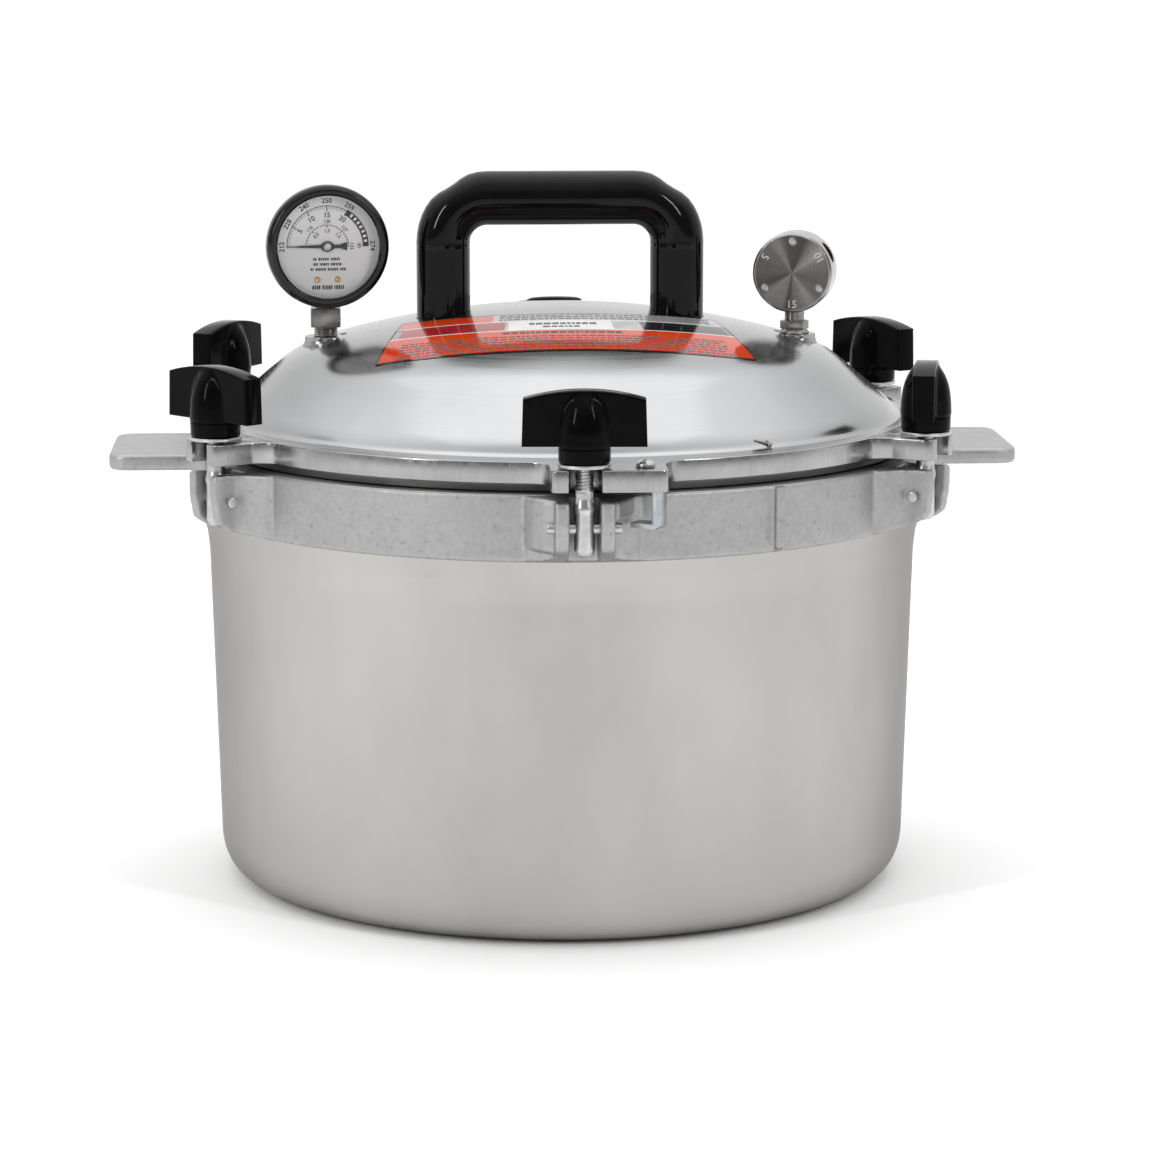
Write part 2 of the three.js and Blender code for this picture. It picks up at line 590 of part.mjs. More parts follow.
function makeGauge() {
  const group = gaugeGroup();
  const { bezelR, caseR, skin } = GAUGE;
  const { bezelFront, glass, caseFront, dial, back } = DIAL_Y;
  addPiece('gauge_bezel', dialTurned([
    [23.3, bezelFront + 0.95], [23.3, bezelFront + 0.4], [24.2, bezelFront], [26, bezelFront],
    [bezelR - 0.3, bezelFront + 1.6], [bezelR, bezelFront + 3], [bezelR, -6.5], [caseR + GAP, -6.5],
    [caseR + GAP, bezelFront + 0.95], [23.3, bezelFront + 0.95],
  ]), FINISH.blackEnamel, group);
  addPiece('gauge_glass', dialTurned([
    [0, glass], [caseR, glass], [caseR, glass + 1.9], [0, glass + 1.9],
  ]), FINISH.glass, group);

  const cup = solid(dialTurned([
    [0, back], [caseR - 2.5, back], [caseR, back - 2.5], [caseR, caseFront], [caseR - skin, caseFront],
    [caseR - skin, back - 3], [caseR - 3, back - skin], [0, back - skin],
  ]));
  const stemHole = solid(rod(5.2, -30, -18));
  addPiece('gauge_case', meshed(cup.subtract(stemHole)), FINISH.steel, group);

  const face = solid(dialTurned([
    [0, dial], [caseR - skin - GAP, dial], [caseR - skin - GAP, dial + 0.8], [0, dial + 0.8],
  ]));
  let drilled = face.subtract(solid(dialTurned([[0, dial - 1], [1.2, dial - 1], [1.2, -6], [0, -6]], 10)));
  for (const side of [-1, 1]) {
    const at = [side * 4.6, 0, -15];
    const hole = dialTurned([[0, dial - 1], [0.95, dial - 1], [0.95, -6], [0, -6]], 8);
    drilled = drilled.subtract(solid(hole).translate(at));
    const screw = dialTurned([
      [0, dial - 0.9], [1.1, dial - 0.75], [1.4, dial - 0.3], [0.65, dial - 0.3], [0.65, -4], [0, -4],
    ], 10);
    const name = side < 0 ? 'dial_screw_left' : 'dial_screw_right';
    addPiece(name, screw.translate(...at), FINISH.brass, group);
  }
  addPiece('gauge_dial', meshed(drilled), FINISH.dialWhite, group);

  const hand = outlineShape([
    [-19.5, 0], [-12, 0.45], [-3, 0.8], [0, 2.3], [3, 0.9], [8.5, 1.7], [8.5, -1.7], [3, -0.9],
    [0, -2.3], [-3, -0.8], [-12, -0.45],
  ]);
  const blade = solid(plate(hand, 0, 0.5).rotateX(Math.PI / 2).translate(0, -9, 0));
  const cap = solid(dialTurned([[0, -9.75], [1.9, -9.65], [2.3, -8.9], [0, -8.9]], 12));
  addPiece('gauge_pointer', meshed(blade.add(cap)), FINISH.blackPaint, group);

  makeGaugeMovement(group);
  addPiece('bourdon_tube', closed(bourdonTube()), FINISH.brass, group);

  const square = solid(block(-6.8, 6.8, -6.8, 6.8, -37.1, -28.4));
  const thread = solid(rod(5.5, -50, -37, 14));
  const neck = solid(rod(4.8, -28.5, -22, 12));
  addPiece('gauge_socket', meshed(square.add(thread).add(neck)), FINISH.steel, group);
}

// ---------------------------------------------------------------- vent pipe, weight and plug

function makeVentPipe() {
  const { pipeR, hexZ, hexTopZ, hexR, tipZ, boreR } = VENT;
  const pipe = solid(turned([
    [0, 236], [pipeR - 0.8, 236], [pipeR, 237], [pipeR, 262], [3.4, tipZ - 1], [2.8, tipZ], [0, tipZ],
  ], 12));
  const hex = solid(rod(hexR, hexZ, hexTopZ, 6));
  const bore = solid(rod(boreR, 230, tipZ + 5, 8));
  addPiece('vent_pipe', meshed(pipe.add(hex).subtract(bore).translate([VENT.x, 0, 0])), FINISH.steel);
}

// A thick steel disc on edge, with three radial sockets: the one at the bottom sits over the vent pipe.
function makeWeight() {
  const { r, halfThick, socketR } = WEIGHT;
  let disc = solid(dialTurned([
    [0, -halfThick], [r - 1, -halfThick], [r, 1 - halfThick], [r, halfThick - 1],
    [r - 1, halfThick], [0, halfThick],
  ], 30));
  for (const turn of [0, 120, 240]) {
    const depth = turn === 0 ? -3.8 : -7;
    disc = disc.subtract(solid(rod(socketR, -30, depth, 12).rotateY(degrees(turn))));
  }
  const group = new THREE.Group();
  group.position.set(VENT.x, 0, WEIGHT.z);
  group.rotation.z = degrees(WEIGHT.turn);
  canner.add(group);
  addPiece('regulator_weight', meshed(disc), FINISH.steel, group);
}

function makePlug() {
  const { headR, headHeight, neckR } = PLUG;
  const plug = turned([
    [0, -9], [neckR - 1, -9], [neckR, -8], [neckR, 0.5], [headR, 0.5], [headR, 1.4],
    [headR - 1.5, headHeight], [0, headHeight],
  ], 20);
  addPiece('overpressure_plug', atPlug(plug), FINISH.rubber);
}

// ---------------------------------------------------------------- assembly

makePot();
makeRack();
makeClamps();
makeLid();
makeHandle();
makeHook();
makeGauge();
makeVentPipe();
makeWeight();
makePlug();

export default canner;
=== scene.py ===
"""The looks of a cast-aluminium pressure canner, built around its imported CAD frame.

Shapes are worked out in millimetres, with the pot's underside at z = 0 and the dial facing -Y.
"""

from math import asin, atan2, cos, degrees, exp, hypot, pi, radians, sin, sqrt, tan

import bmesh
import bpy
from mathutils import Matrix, Vector
from mathutils.geometry import tessellate_polygon


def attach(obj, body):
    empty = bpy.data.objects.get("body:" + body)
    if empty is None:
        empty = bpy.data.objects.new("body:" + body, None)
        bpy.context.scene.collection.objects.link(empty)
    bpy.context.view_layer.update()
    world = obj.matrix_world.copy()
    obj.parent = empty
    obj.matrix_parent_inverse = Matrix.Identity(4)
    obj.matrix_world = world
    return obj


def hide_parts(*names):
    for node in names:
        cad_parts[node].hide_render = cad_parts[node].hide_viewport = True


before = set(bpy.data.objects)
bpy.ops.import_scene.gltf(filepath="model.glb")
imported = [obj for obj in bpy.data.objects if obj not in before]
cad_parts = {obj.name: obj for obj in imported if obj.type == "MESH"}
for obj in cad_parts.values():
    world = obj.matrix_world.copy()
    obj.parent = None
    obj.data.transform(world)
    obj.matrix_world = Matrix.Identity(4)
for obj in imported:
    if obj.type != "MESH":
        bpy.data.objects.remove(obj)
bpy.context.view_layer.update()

# ---- driving dimensions, mm

MM = 0.001
ROUND = 192  # segments round the pot and the lid
WALL = 6.35  # thickness of the pot's wall
FOOT_R = 158.7
WALL_R = 162.0
BAND_R = 167.2  # cast band below the rim
BAND_Z = 170.6
RIM_Z = 199.0
MOUTH_R = 155.6
SEAT_R = 159.4
TAB_REACH = 205.8
TAB_HALF_WIDTH = 37.5
TAB_Z = (191.7, 198.6)
RIDGE_ANGLE = -59.6  # cast ridge on the band, degrees
RIDGE_REACH = 2.8

LUG_ANGLES = (-90, -30, 30, 90, 150, 210)
PIVOT_R = 179.6  # clamp bolts hang on pins at this radius
PIVOT_Z = 187.0
EAR_GAP = 6.5
EAR_OUTER = 12.5
EAR_END_R = 187.0
EAR_Z = 198.6  # ear tops, before the casting's parts are melted together
PIN_R = 2.4
PIN_HALF = 15.8
BARREL_R = 4.4
THREAD_R = 3.9
THREAD_PITCH = 1.41
THREAD_DEPTH = 0.55
BOLT_FOOT_Z = 175.0
BOLT_TOP_Z = 240.5
WING_TURN = (-3.2, 78.8, -59.2, 16.8, 62.8, -48.2)
WING_SPAN = 26.1  # half the wing's length
WING_THICK = 4.8  # half its thickness
WING_Z = 221.8
WING_END_Z = 241.6
WING_TOP_Z = 245.2
WING_TAPER = 0.6  # how much shorter each half is at its top
WING_EDGE = 0.7  # its rounded edges
HUB_R = 11.1
HUB_SHOULDER_Z = 226.0  # above this the hub closes like a bullet
HUB_NOSE = 19.4  # height of that nose
HUB_BLEND = 2.6  # softness of the corner between hub and wing

FLANGE_R = 163.0
FLANGE_Z = (203.0, 212.4)
FLANGE_BORE_R = 155.0
APEX_Z = 261.5
CROWN_R = 395.0  # radius of the dome's crown
CROWN_SKIN = 5.6
LUG_END_R = 188.0
LUG_HALF_WIDTH = 14.3
HOOK_SIDE_WIDTH = 34.7  # the front lug is wider where the hook hangs
SLOT_HALF = 6.7
SLOT_R = 172.0

HANDLE_X = -0.6
HANDLE_FOOT_X = 53.4
HANDLE_FOOT_Z = 250.0
HANDLE_R = 12.25
GRIP_Z = 310.5
HANDLE_BEND_R = 20.0
SEAM_DROP = 0.4  # the mould's parting line round each leg, this far below the bend
HOOK_AT = (31.2, -180.0)
HOOK_TURN = -33
HOOK_SCREW_AT = (25.6, -177.0)

GAUGE_AT = (-107.8, 0.0, 289.5)
GAUGE_TURN = 8
BEZEL_R = 28.0
CASE_R = 25.9
DIAL_Y = -7.9  # depth of the dial's face, the glass being in front of it
INK_Y = DIAL_Y - 0.05
DIAL_TICKS = (  # count, long ones, then inner radius, outer radius and width, short and long
    (61, 10, (16.9, 15.9), (18.4, 18.7), (0.2, 0.48)),
    (21, 5, (8.9, 8.4), (9.8, 9.8), (0.2, 0.4)),
)
DIAL_NUMBERS = (  # texts, radius, angle of the first, step, height
    (("212", "228", "240", "250", "259"), 20.6, 180, 30, 2.3),
    (("274",), 20.6, 0, 30, 2.3),
    (("5", "10", "15", "20"), 14.1, 150, 30, 2.4),
    (("30",), 14.6, 1, 30, 1.7),
    (("0", "110", "120", "127", "133"), 11.2, 180, 45, 1.6),
    (("0.5", "1.0", "1.5"), 7.0, 135, 45, 1.7),
)
VENT_AT = (107.2, 0.0, 0.0)
WEIGHT_AT = (107.2, 0.0, 276.4)
WEIGHT_TURN = -14
WEIGHT_R = 18.2
WEIGHT_HALF = 10.0
WEIGHT_PIN_ANGLES = (90, 210, 330)
WEIGHT_PIN_CIRCLE = 14.3
WEIGHT_PIN_HOLE_R = 2.15
WEIGHT_DIGITS_R = 14.5
WEIGHT_PAINTED_HIGHLIGHT_FAN = (  # painted highlight fan: the turned face's bow-tie reflections painted into its colour round its axis: place round it, grey
    (0.0, 0.1), (0.07, 0.1), (0.12, 0.36), (0.2, 0.34), (0.23, 0.1), (0.26, 0.24), (0.33, 0.26), (0.38, 0.1),
    (0.5, 0.12), (0.56, 0.2), (0.6, 0.42), (0.65, 0.3), (0.69, 0.11), (0.78, 0.11), (0.82, 0.22),
    (0.87, 0.1), (1.0, 0.1),
)
PLUG_Y = 65.0
ARROW_BEARING = -58.5  # cast pointer on the dome's toe
ARROW_R = 152.2
ARROW_Z = 215.4
ARROW_SLOPE = 46

LABEL_BOTTOM = (84.0, -91.0, 11.0)  # half width, y at the middle, how far the ends rise
LABEL_TOP = (71.0, -28.0, 15.5)
LABEL_SHIFT = 2.0  # how far the label sits to the left
FILM_HEIGHT = 0.12  # above the dome
BAND_TOP = 0.483  # heights up the label, as parts of it: its lower band, then its row of boxes
BOXES = (0.5, 0.74)
STRIP_BOTTOM = 0.76

RACK_R = 146.0
RACK_Z = 18.0
RACK_RINGS = ((6, 48), (12, 92))
RACK_HOLE_R = 9.0

CAMERA_AT = (-0.0948, -1.7866, 0.4499)
CAMERA_TURN = (80.03, 0.0, -3.25)
CAMERA_LENS = 122.49
SKY = (("Y", -0.55, 0.15, 0.26, 1.0), ("Z", 0.35, 0.95, 0.0, 0.75))  # axis, range, strengths
FLOOR_HALF = 30000
FLOOR_Z = -0.2

# ---- forms


class Form:
    """Surfaces in millimetres, gathered before they become one mesh."""

    def __init__(self, points=(), faces=()):
        self.points = [Vector(p) for p in points]
        self.faces = [list(face) for face in faces]

    def add(self, other):
        start = len(self.points)
        self.points += [p.copy() for p in other.points]
        self.faces += [[start + i for i in face] for face in other.faces]
        return self

    def moved(self, matrix):
        made = Form((), self.faces)
        made.points = [matrix @ p for p in self.points]
        return made


def union(forms):
    """Several forms in one; they may overlap."""
    made = Form()
    for form in forms:
        made.add(form)
    return made


def shift(x, y, z):
    return Matrix.Translation((x, y, z))


def turn(angle, axis="Z"):
    return Matrix.Rotation(radians(angle), 4, axis)


def rounded(corners, loop=False, steps=5):
    """The outline through (a, b, radius) corners, each eased by about its radius."""
    made = []
    count = len(corners)
    for i, (a, b, radius) in enumerate(corners):
        here = Vector((a, b))
        if radius == 0 or (not loop and i in (0, count - 1)):
            made.append(here)
            continue
        before = Vector(corners[i - 1][:2]) - here
        after = Vector(corners[(i + 1) % count][:2]) - here
        half = before.angle(after) / 2
        reach = min(radius / tan(half), before.length * 0.49, after.length * 0.49)
        start = here + before.normalized() * reach
        end = here + after.normalized() * reach
        for k in range(steps + 1):
            t = k / steps
            made.append(start * (1 - t) ** 2 + here * 2 * t * (1 - t) + end * t * t)
    return [tuple(p) for p in made]


def polar(radius, angle):
    """The place at a radius and an angle in radians."""
    return radius * cos(angle), radius * sin(angle)


def round_angles(count):
    return [2 * pi * k / count for k in range(count)]


def circle(x, y, radius, segments):
    return [(x + a, y + b) for a, b in [polar(radius, angle) for angle in round_angles(segments)]]


def rectangle(half_width, half_height):
    return [(x * half_width, y * half_height) for x, y in ((-1, -1), (1, -1), (1, 1), (-1, 1))]


def lathe(outline, segments=96):
    """A solid turned about Z from (radius, height) pairs, listed once round its section."""
    form = Form()
    rows = []
    for r, z in outline:
        start = len(form.points)
        if r < 1e-6:
            form.points.append(Vector((0, 0, z)))
            rows.append([start] * segments)
            continue
        form.points += [Vector((*polar(r, angle), z)) for angle in round_angles(segments)]
        rows.append(list(range(start, start + segments)))
    if outline[0][0] > 1e-6:
        rows.append(rows[0])
    for low, high in zip(rows, rows[1:]):
        for k in range(segments):
            after = (k + 1) % segments
            face = [low[k], low[after], high[after], high[k]]
            form.faces.append(list(dict.fromkeys(face)))
    return form


def spun(corners, segments=96, loop=False, steps=5):
    """A solid turned about Z from (radius, height, rounding) corners."""
    return lathe(rounded(corners, loop, steps), segments)


def inset_loop(loop, amount):
    """A closed plan outline moved towards its inside, whichever way round it is listed."""
    area = sum(a[0] * b[1] - b[0] * a[1] for a, b in zip(loop, loop[1:] + loop[:1]))
    side = 1 if area > 0 else -1
    moved = []
    for i, (x, y) in enumerate(loop):
        before = Vector((x, y)) - Vector(loop[i - 1])
        after = Vector(loop[(i + 1) % len(loop)]) - Vector((x, y))
        normals = [Vector((-v.y, v.x)).normalized() for v in (before, after)]
        middle = (normals[0] + normals[1]).normalized()
        scale = 1 / max(0.5, middle.dot(normals[0]))
        moved.append((x + middle.x * amount * side * scale, y + middle.y * amount * side * scale))
    return moved


def prism(outline, low, high, edge=0.0, holes=()):
    """A plan outline raised from low to high, its holes cut through and its edges rounded."""
    steps = 3
    form = Form()
    levels = [(low, 0.0), (high, 0.0)]
    if edge > 0:
        curve = [pi / 2 * k / steps for k in range(steps + 1)]
        levels = [(low + edge * (1 - cos(a)), edge * (1 - sin(a))) for a in curve]
        levels += [(high - edge * (1 - cos(a)), edge * (1 - sin(a))) for a in reversed(curve)]
    caps = {low: [], high: []}
    for number, loop in enumerate([outline, *holes]):
        sign = -1 if number else 1
        rows = []
        for z, inset in levels:
            ring = inset_loop(loop, inset * sign) if inset > 1e-9 else loop
            rows.append(list(range(len(form.points), len(form.points) + len(loop))))
            form.points += [Vector((x, y, z)) for x, y in ring]
        for below, above in zip(rows, rows[1:]):
            for k in range(len(loop)):
                after = (k + 1) % len(loop)
                form.faces.append([below[k], below[after], above[after], above[k]])
        caps[low].append(rows[0])
        caps[high].append(rows[-1])
    for rings in caps.values():
        flat = [[form.points[i] for i in ring] for ring in rings]
        order = [i for ring in rings for i in ring]
        form.faces += [[order[i] for i in corner] for corner in tessellate_polygon(flat)]
    return form


def slab(outline, half_width, edge=0.0):
    """An outline in X-Z, extruded both ways along Y."""
    return prism(outline, -half_width, half_width, edge).moved(turn(90, "X"))


def skin(rows, loop_rows=False):
    """The surface through rows of points that all have the same length."""
    form = Form([p for row in rows for p in row])
    width = len(rows[0])
    for j in range(len(rows) - 1):
        for i in range(width if loop_rows else width - 1):
            after = (i + 1) % width
            form.faces.append([j * width + i, j * width + after,
                               (j + 1) * width + after, (j + 1) * width + i])
    return form


def crown_z(r, offset=0.0):
    """Height of the dome's crown at a radius."""
    return APEX_Z - CROWN_R + sqrt((CROWN_R + offset) ** 2 - r * r)


# ---- meshes


def add_object(name, data):
    obj = bpy.data.objects.new(name, data)
    bpy.context.scene.collection.objects.link(obj)
    return obj


def as_mesh(name, form):
    mesh = bpy.data.meshes.new(name)
    mesh.from_pydata([tuple(p * MM) for p in form.points], [], form.faces)
    surface = bmesh.new()
    surface.from_mesh(mesh)
    bmesh.ops.remove_doubles(surface, verts=surface.verts, dist=1e-8)
    bmesh.ops.recalc_face_normals(surface, faces=surface.faces)
    surface.to_mesh(mesh)
    surface.free()
    return mesh


def scratch(form):
    return add_object("scratch", as_mesh("scratch", form))


def settled(obj, unit=MM):
    """The form of a scratch object after its modifiers; the object is removed."""
    graph = bpy.context.evaluated_depsgraph_get()
    mesh = bpy.data.meshes.new_from_object(obj.evaluated_get(graph))
    bpy.data.objects.remove(obj)
    form = Form([v.co / unit for v in mesh.vertices], [p.vertices for p in mesh.polygons])
    bpy.data.meshes.remove(mesh)
    return form


def carved(form, tool, operation="DIFFERENCE"):
    target, cutter = scratch(form), scratch(tool)
    modifier = target.modifiers.new("carve", "BOOLEAN")
    modifier.operation = operation
    modifier.solver = "EXACT"
    modifier.object = cutter
    made = settled(target)
    bpy.data.objects.remove(cutter)
    return made


def cast(form, voxel, passes):
    """Overlapping closed forms melted into one skin with soft inside corners."""
    target = scratch(form)
    remesh = target.modifiers.new("melt", "REMESH")
    remesh.mode = "VOXEL"
    remesh.voxel_size = voxel * MM
    smooth = target.modifiers.new("soften", "SMOOTH")
    smooth.factor = 0.5
    smooth.iterations = passes
    return settled(target)


def piece(name, form, body, look, slot, *stands_for, crease=35.0):
    """A shown piece: shaded smooth, with edges sharper than crease kept sharp."""
    mesh = as_mesh(name, form)
    mesh.shade_smooth()
    mesh.set_sharp_from_angle(angle=radians(crease))
    mesh.materials.append(LOOKS[look])
    obj = add_object(name, mesh)
    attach(obj, body)
    if stands_for:
        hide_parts(*stands_for)


def lettering(body, height, bold=0.03):
    """Digits as a flat form in X-Z, centred on the origin and facing -Y."""
    curve = bpy.data.curves.new("digits", "FONT")
    curve.body = body
    curve.size = height * 1.35
    curve.align_x = "CENTER"
    curve.align_y = "CENTER"
    curve.resolution_u = 3
    curve.offset = bold * height
    return settled(add_object("digits", curve), 1).moved(turn(90, "X"))


# ---- materials


def new_node(nodes, kind, **constants):
    """A shader node, with constants set on its sockets."""
    node = nodes.new(kind)
    for socket, value in constants.items():
        node.inputs[socket.replace("_", " ")].default_value = value
    return node


class Look:
    """A node material built up from procedural colour, roughness and relief."""

    def __init__(self, name, metallic=0.0):
        self.material = bpy.data.materials.new(name)
        self.material.use_nodes = True
        self.nodes = self.material.node_tree.nodes
        self.links = self.material.node_tree.links
        self.shader = self.nodes["Principled BSDF"]
        self.shader.inputs["Metallic"].default_value = metallic
        self.place = self.nodes.new("ShaderNodeTexCoord").outputs["Object"]

    def link(self, source, node, socket):
        self.links.new(source, node.inputs[socket])

    def node(self, kind, **constants):
        return new_node(self.nodes, kind, **constants)

    def maths(self, operation, first, second=None):
        node = self.node("ShaderNodeVectorMath")
        node.operation = operation
        self.links.new(first, node.inputs[0])
        if second is not None:
            node.inputs[1].default_value = second
        return node

    def placed(self, centre, rotation):
        """Coordinates in a frame of their own, set in millimetres and degrees."""
        node = self.node("ShaderNodeMapping")
        node.vector_type = "TEXTURE"
        node.inputs["Location"].default_value = [c * MM for c in centre]
        node.inputs["Rotation"].default_value = [radians(a) for a in rotation]
        self.link(self.place, node, "Vector")
        return node.outputs["Vector"]

    def turned_about(self, centre=(0, 0, 0), turn_z=0.0, axis="Z"):
        """Coordinates that run as rings about an axis: (radius, 0, depth)."""
        local = self.placed(centre, (0, 0, turn_z))
        keep = (1, 1, 0) if axis == "Z" else (1, 0, 1)
        depth = (0, 0, 1) if axis == "Z" else (0, 1, 0)
        radius = self.maths("LENGTH", self.maths("MULTIPLY", local, keep).outputs["Vector"])
        level = self.maths("DOT_PRODUCT", local, depth)
        rings = self.node("ShaderNodeCombineXYZ")
        self.link(radius.outputs["Value"], rings, "X")
        self.link(level.outputs["Value"], rings, "Z")
        return rings.outputs["Vector"]

    def bearing(self, centre, turn_z):
        """The angle round an axis along Y, from 0 at -X through 0.25 at the bottom."""
        local = self.placed(centre, (90, 0, turn_z))
        sweep = self.node("ShaderNodeTexGradient")
        sweep.gradient_type = "RADIAL"
        self.link(local, sweep, "Vector")
        return sweep.outputs["Fac"]

    def noise(self, scale, detail=3.0, stretch=(1, 1, 1), along=None):
        mapping = self.node("ShaderNodeMapping", Scale=stretch)
        self.link(along or self.place, mapping, "Vector")
        node = self.node("ShaderNodeTexNoise", Scale=scale, Detail=detail)
        self.link(mapping.outputs["Vector"], node, "Vector")
        return node.outputs["Fac"]

    def tint(self, factor, stops):
        """Base colour from a ramp of (position, colour) stops."""
        ramp = self.node("ShaderNodeValToRGB")
        while len(ramp.color_ramp.elements) < len(stops):
            ramp.color_ramp.elements.new(0.5)
        for element, (position, colour) in zip(ramp.color_ramp.elements, stops):
            element.position = position
            element.color = (*colour, 1)
        self.link(factor, ramp, "Fac")
        self.link(ramp.outputs["Color"], self.shader, "Base Color")

    def sheen(self, factor, low, high):
        """Roughness from low to high as the factor runs over its middle range."""
        node = self.node("ShaderNodeMapRange", From_Min=0.3, From_Max=0.7, To_Min=low, To_Max=high)
        self.link(factor, node, "Value")
        self.link(node.outputs["Result"], self.shader, "Roughness")

    def relief(self, factor, depth):
        """Bump of that depth in millimetres, on top of any relief so far."""
        node = self.node("ShaderNodeBump", Distance=depth * MM)
        self.link(factor, node, "Height")
        if self.shader.inputs["Normal"].is_linked:
            self.link(self.shader.inputs["Normal"].links[0].from_socket, node, "Normal")
        self.link(node.outputs["Normal"], self.shader, "Normal")

    def brushed_round(self, amount, axis="Z"):
        """Stretches highlights across rings about an axis."""
        tangent = self.node("ShaderNodeTangent")
        tangent.direction_type = "RADIAL"
        tangent.axis = axis
        self.link(tangent.outputs["Tangent"], self.shader, "Tangent")
        self.shader.inputs["Anisotropic"].default_value = amount
        self.shader.inputs["Anisotropic Rotation"].default_value = 0.25


def grey(value, warmth=0.0):
    return (value * (1 + warmth), value, value * (1 - warmth))


def plain_look(name, colours, roughness, scale, depth, metallic=0.0, level=0.5):
    """A moulded, plated or painted surface: faint mottling, uneven gloss and fine relief."""
    look = Look(name, metallic)
    look.shader.inputs["Specular IOR Level"].default_value = level
    look.tint(look.noise(scale), [(0.35, colours[0]), (0.65, colours[1])])
    look.sheen(look.noise(scale * 0.4, 4), *roughness)
    look.relief(look.noise(scale * 3, 2), depth)
    return look.material


def metal_look(name, dark, light, roughness, scale, depth, warmth=0.0):
    return plain_look(name, (grey(dark, warmth), grey(light, warmth)), roughness, scale, depth, 1.0)


def turned_wall_look():
    look = Look("turned_aluminium", 1.0)
    rings = look.turned_about()
    look.tint(look.noise(14, 5, (1, 1, 0.5)), [(0.3, grey(0.42, 0.03)), (0.7, grey(0.48, 0.03))])
    look.sheen(look.noise(30, 4, (1, 1, 0.25)), 0.36, 0.46)
    look.relief(look.noise(900, 2, (0.2, 1, 1), rings), 0.006)
    look.relief(look.noise(500, 3), 0.01)
    look.brushed_round(0.3)
    look.shader.inputs["Specular Tint"].default_value = (0.45, 0.45, 0.45, 1)
    return look.material


def cast_look():
    look = Look("cast_aluminium", 1.0)
    look.tint(look.noise(420, 5), [(0.26, grey(0.27)), (0.36, grey(0.37)), (0.7, grey(0.41))])
    look.sheen(look.noise(120, 4), 0.42, 0.56)
    look.relief(look.noise(900, 4), 0.05)
    look.relief(look.noise(50, 3), 0.05)
    return look.material


def polished_look():
    look = Look("polished_aluminium", 1.0)
    rings = look.turned_about()
    look.tint(look.noise(18, 4), [(0.3, grey(0.35, -0.012)), (0.7, grey(0.4, -0.012))])
    look.sheen(look.noise(1400, 3, (1, 1, 1), rings), 0.13, 0.24)
    look.relief(look.noise(1100, 2, (1, 1, 0.3), rings), 0.004)
    look.relief(look.noise(26, 3), 0.05)
    look.brushed_round(0.4)
    look.shader.inputs["Specular Tint"].default_value = (0.95, 0.95, 0.95, 1)
    return look.material


def machined_look():
    look = Look("machined_aluminium", 1.0)
    look.tint(look.noise(40, 4), [(0.3, grey(0.3)), (0.7, grey(0.4))])
    look.sheen(look.noise(500, 3, (1, 1, 0.08)), 0.16, 0.28)
    look.relief(look.noise(800, 2, (1, 1, 0.06)), 0.004)
    return look.material


def weight_look():
    look = Look("turned_steel_painted_fan", 1.0)
    rings = look.turned_about(WEIGHT_AT, WEIGHT_TURN, "Y")
    # Base colour is a painted highlight: lighter sectors round the axis stand in for the turned face's
    # bow-tie reflections, on top of the real anisotropic gloss.
    look.tint(look.bearing(WEIGHT_AT, WEIGHT_TURN), [(at, grey(value, 0.03)) for at, value in WEIGHT_PAINTED_HIGHLIGHT_FAN])
    look.sheen(look.noise(2600, 2, (1, 1, 0.1), rings), 0.24, 0.34)
    look.relief(look.noise(1900, 2, (1, 1, 0.1), rings), 0.003)
    look.brushed_round(0.95, "Y")
    return look.material


def glass_look():
    """Clear glass that only adds a faint reflection, with smears in its gloss."""
    look = Look("lens_glass")
    clear = look.node("ShaderNodeBsdfTransparent")
    gloss = look.node("ShaderNodeBsdfGlossy")
    facing = look.node("ShaderNodeFresnel", IOR=1.3)
    smear = look.node("ShaderNodeMapRange", To_Min=0.01, To_Max=0.12)
    look.link(look.noise(70, 4), smear, "Value")
    look.link(smear.outputs["Result"], gloss, "Roughness")
    mix = look.node("ShaderNodeMixShader")
    for number, source in enumerate((facing.outputs["Fac"], clear.outputs["BSDF"], gloss.outputs["BSDF"])):
        look.link(source, mix, number)
    look.link(mix.outputs["Shader"], look.nodes["Material Output"], "Surface")
    look.nodes.remove(look.shader)
    return look.material


def film_look(name, *colours):
    return plain_look(name, colours, (0.05, 0.12), 90, 0.04, level=0.4)


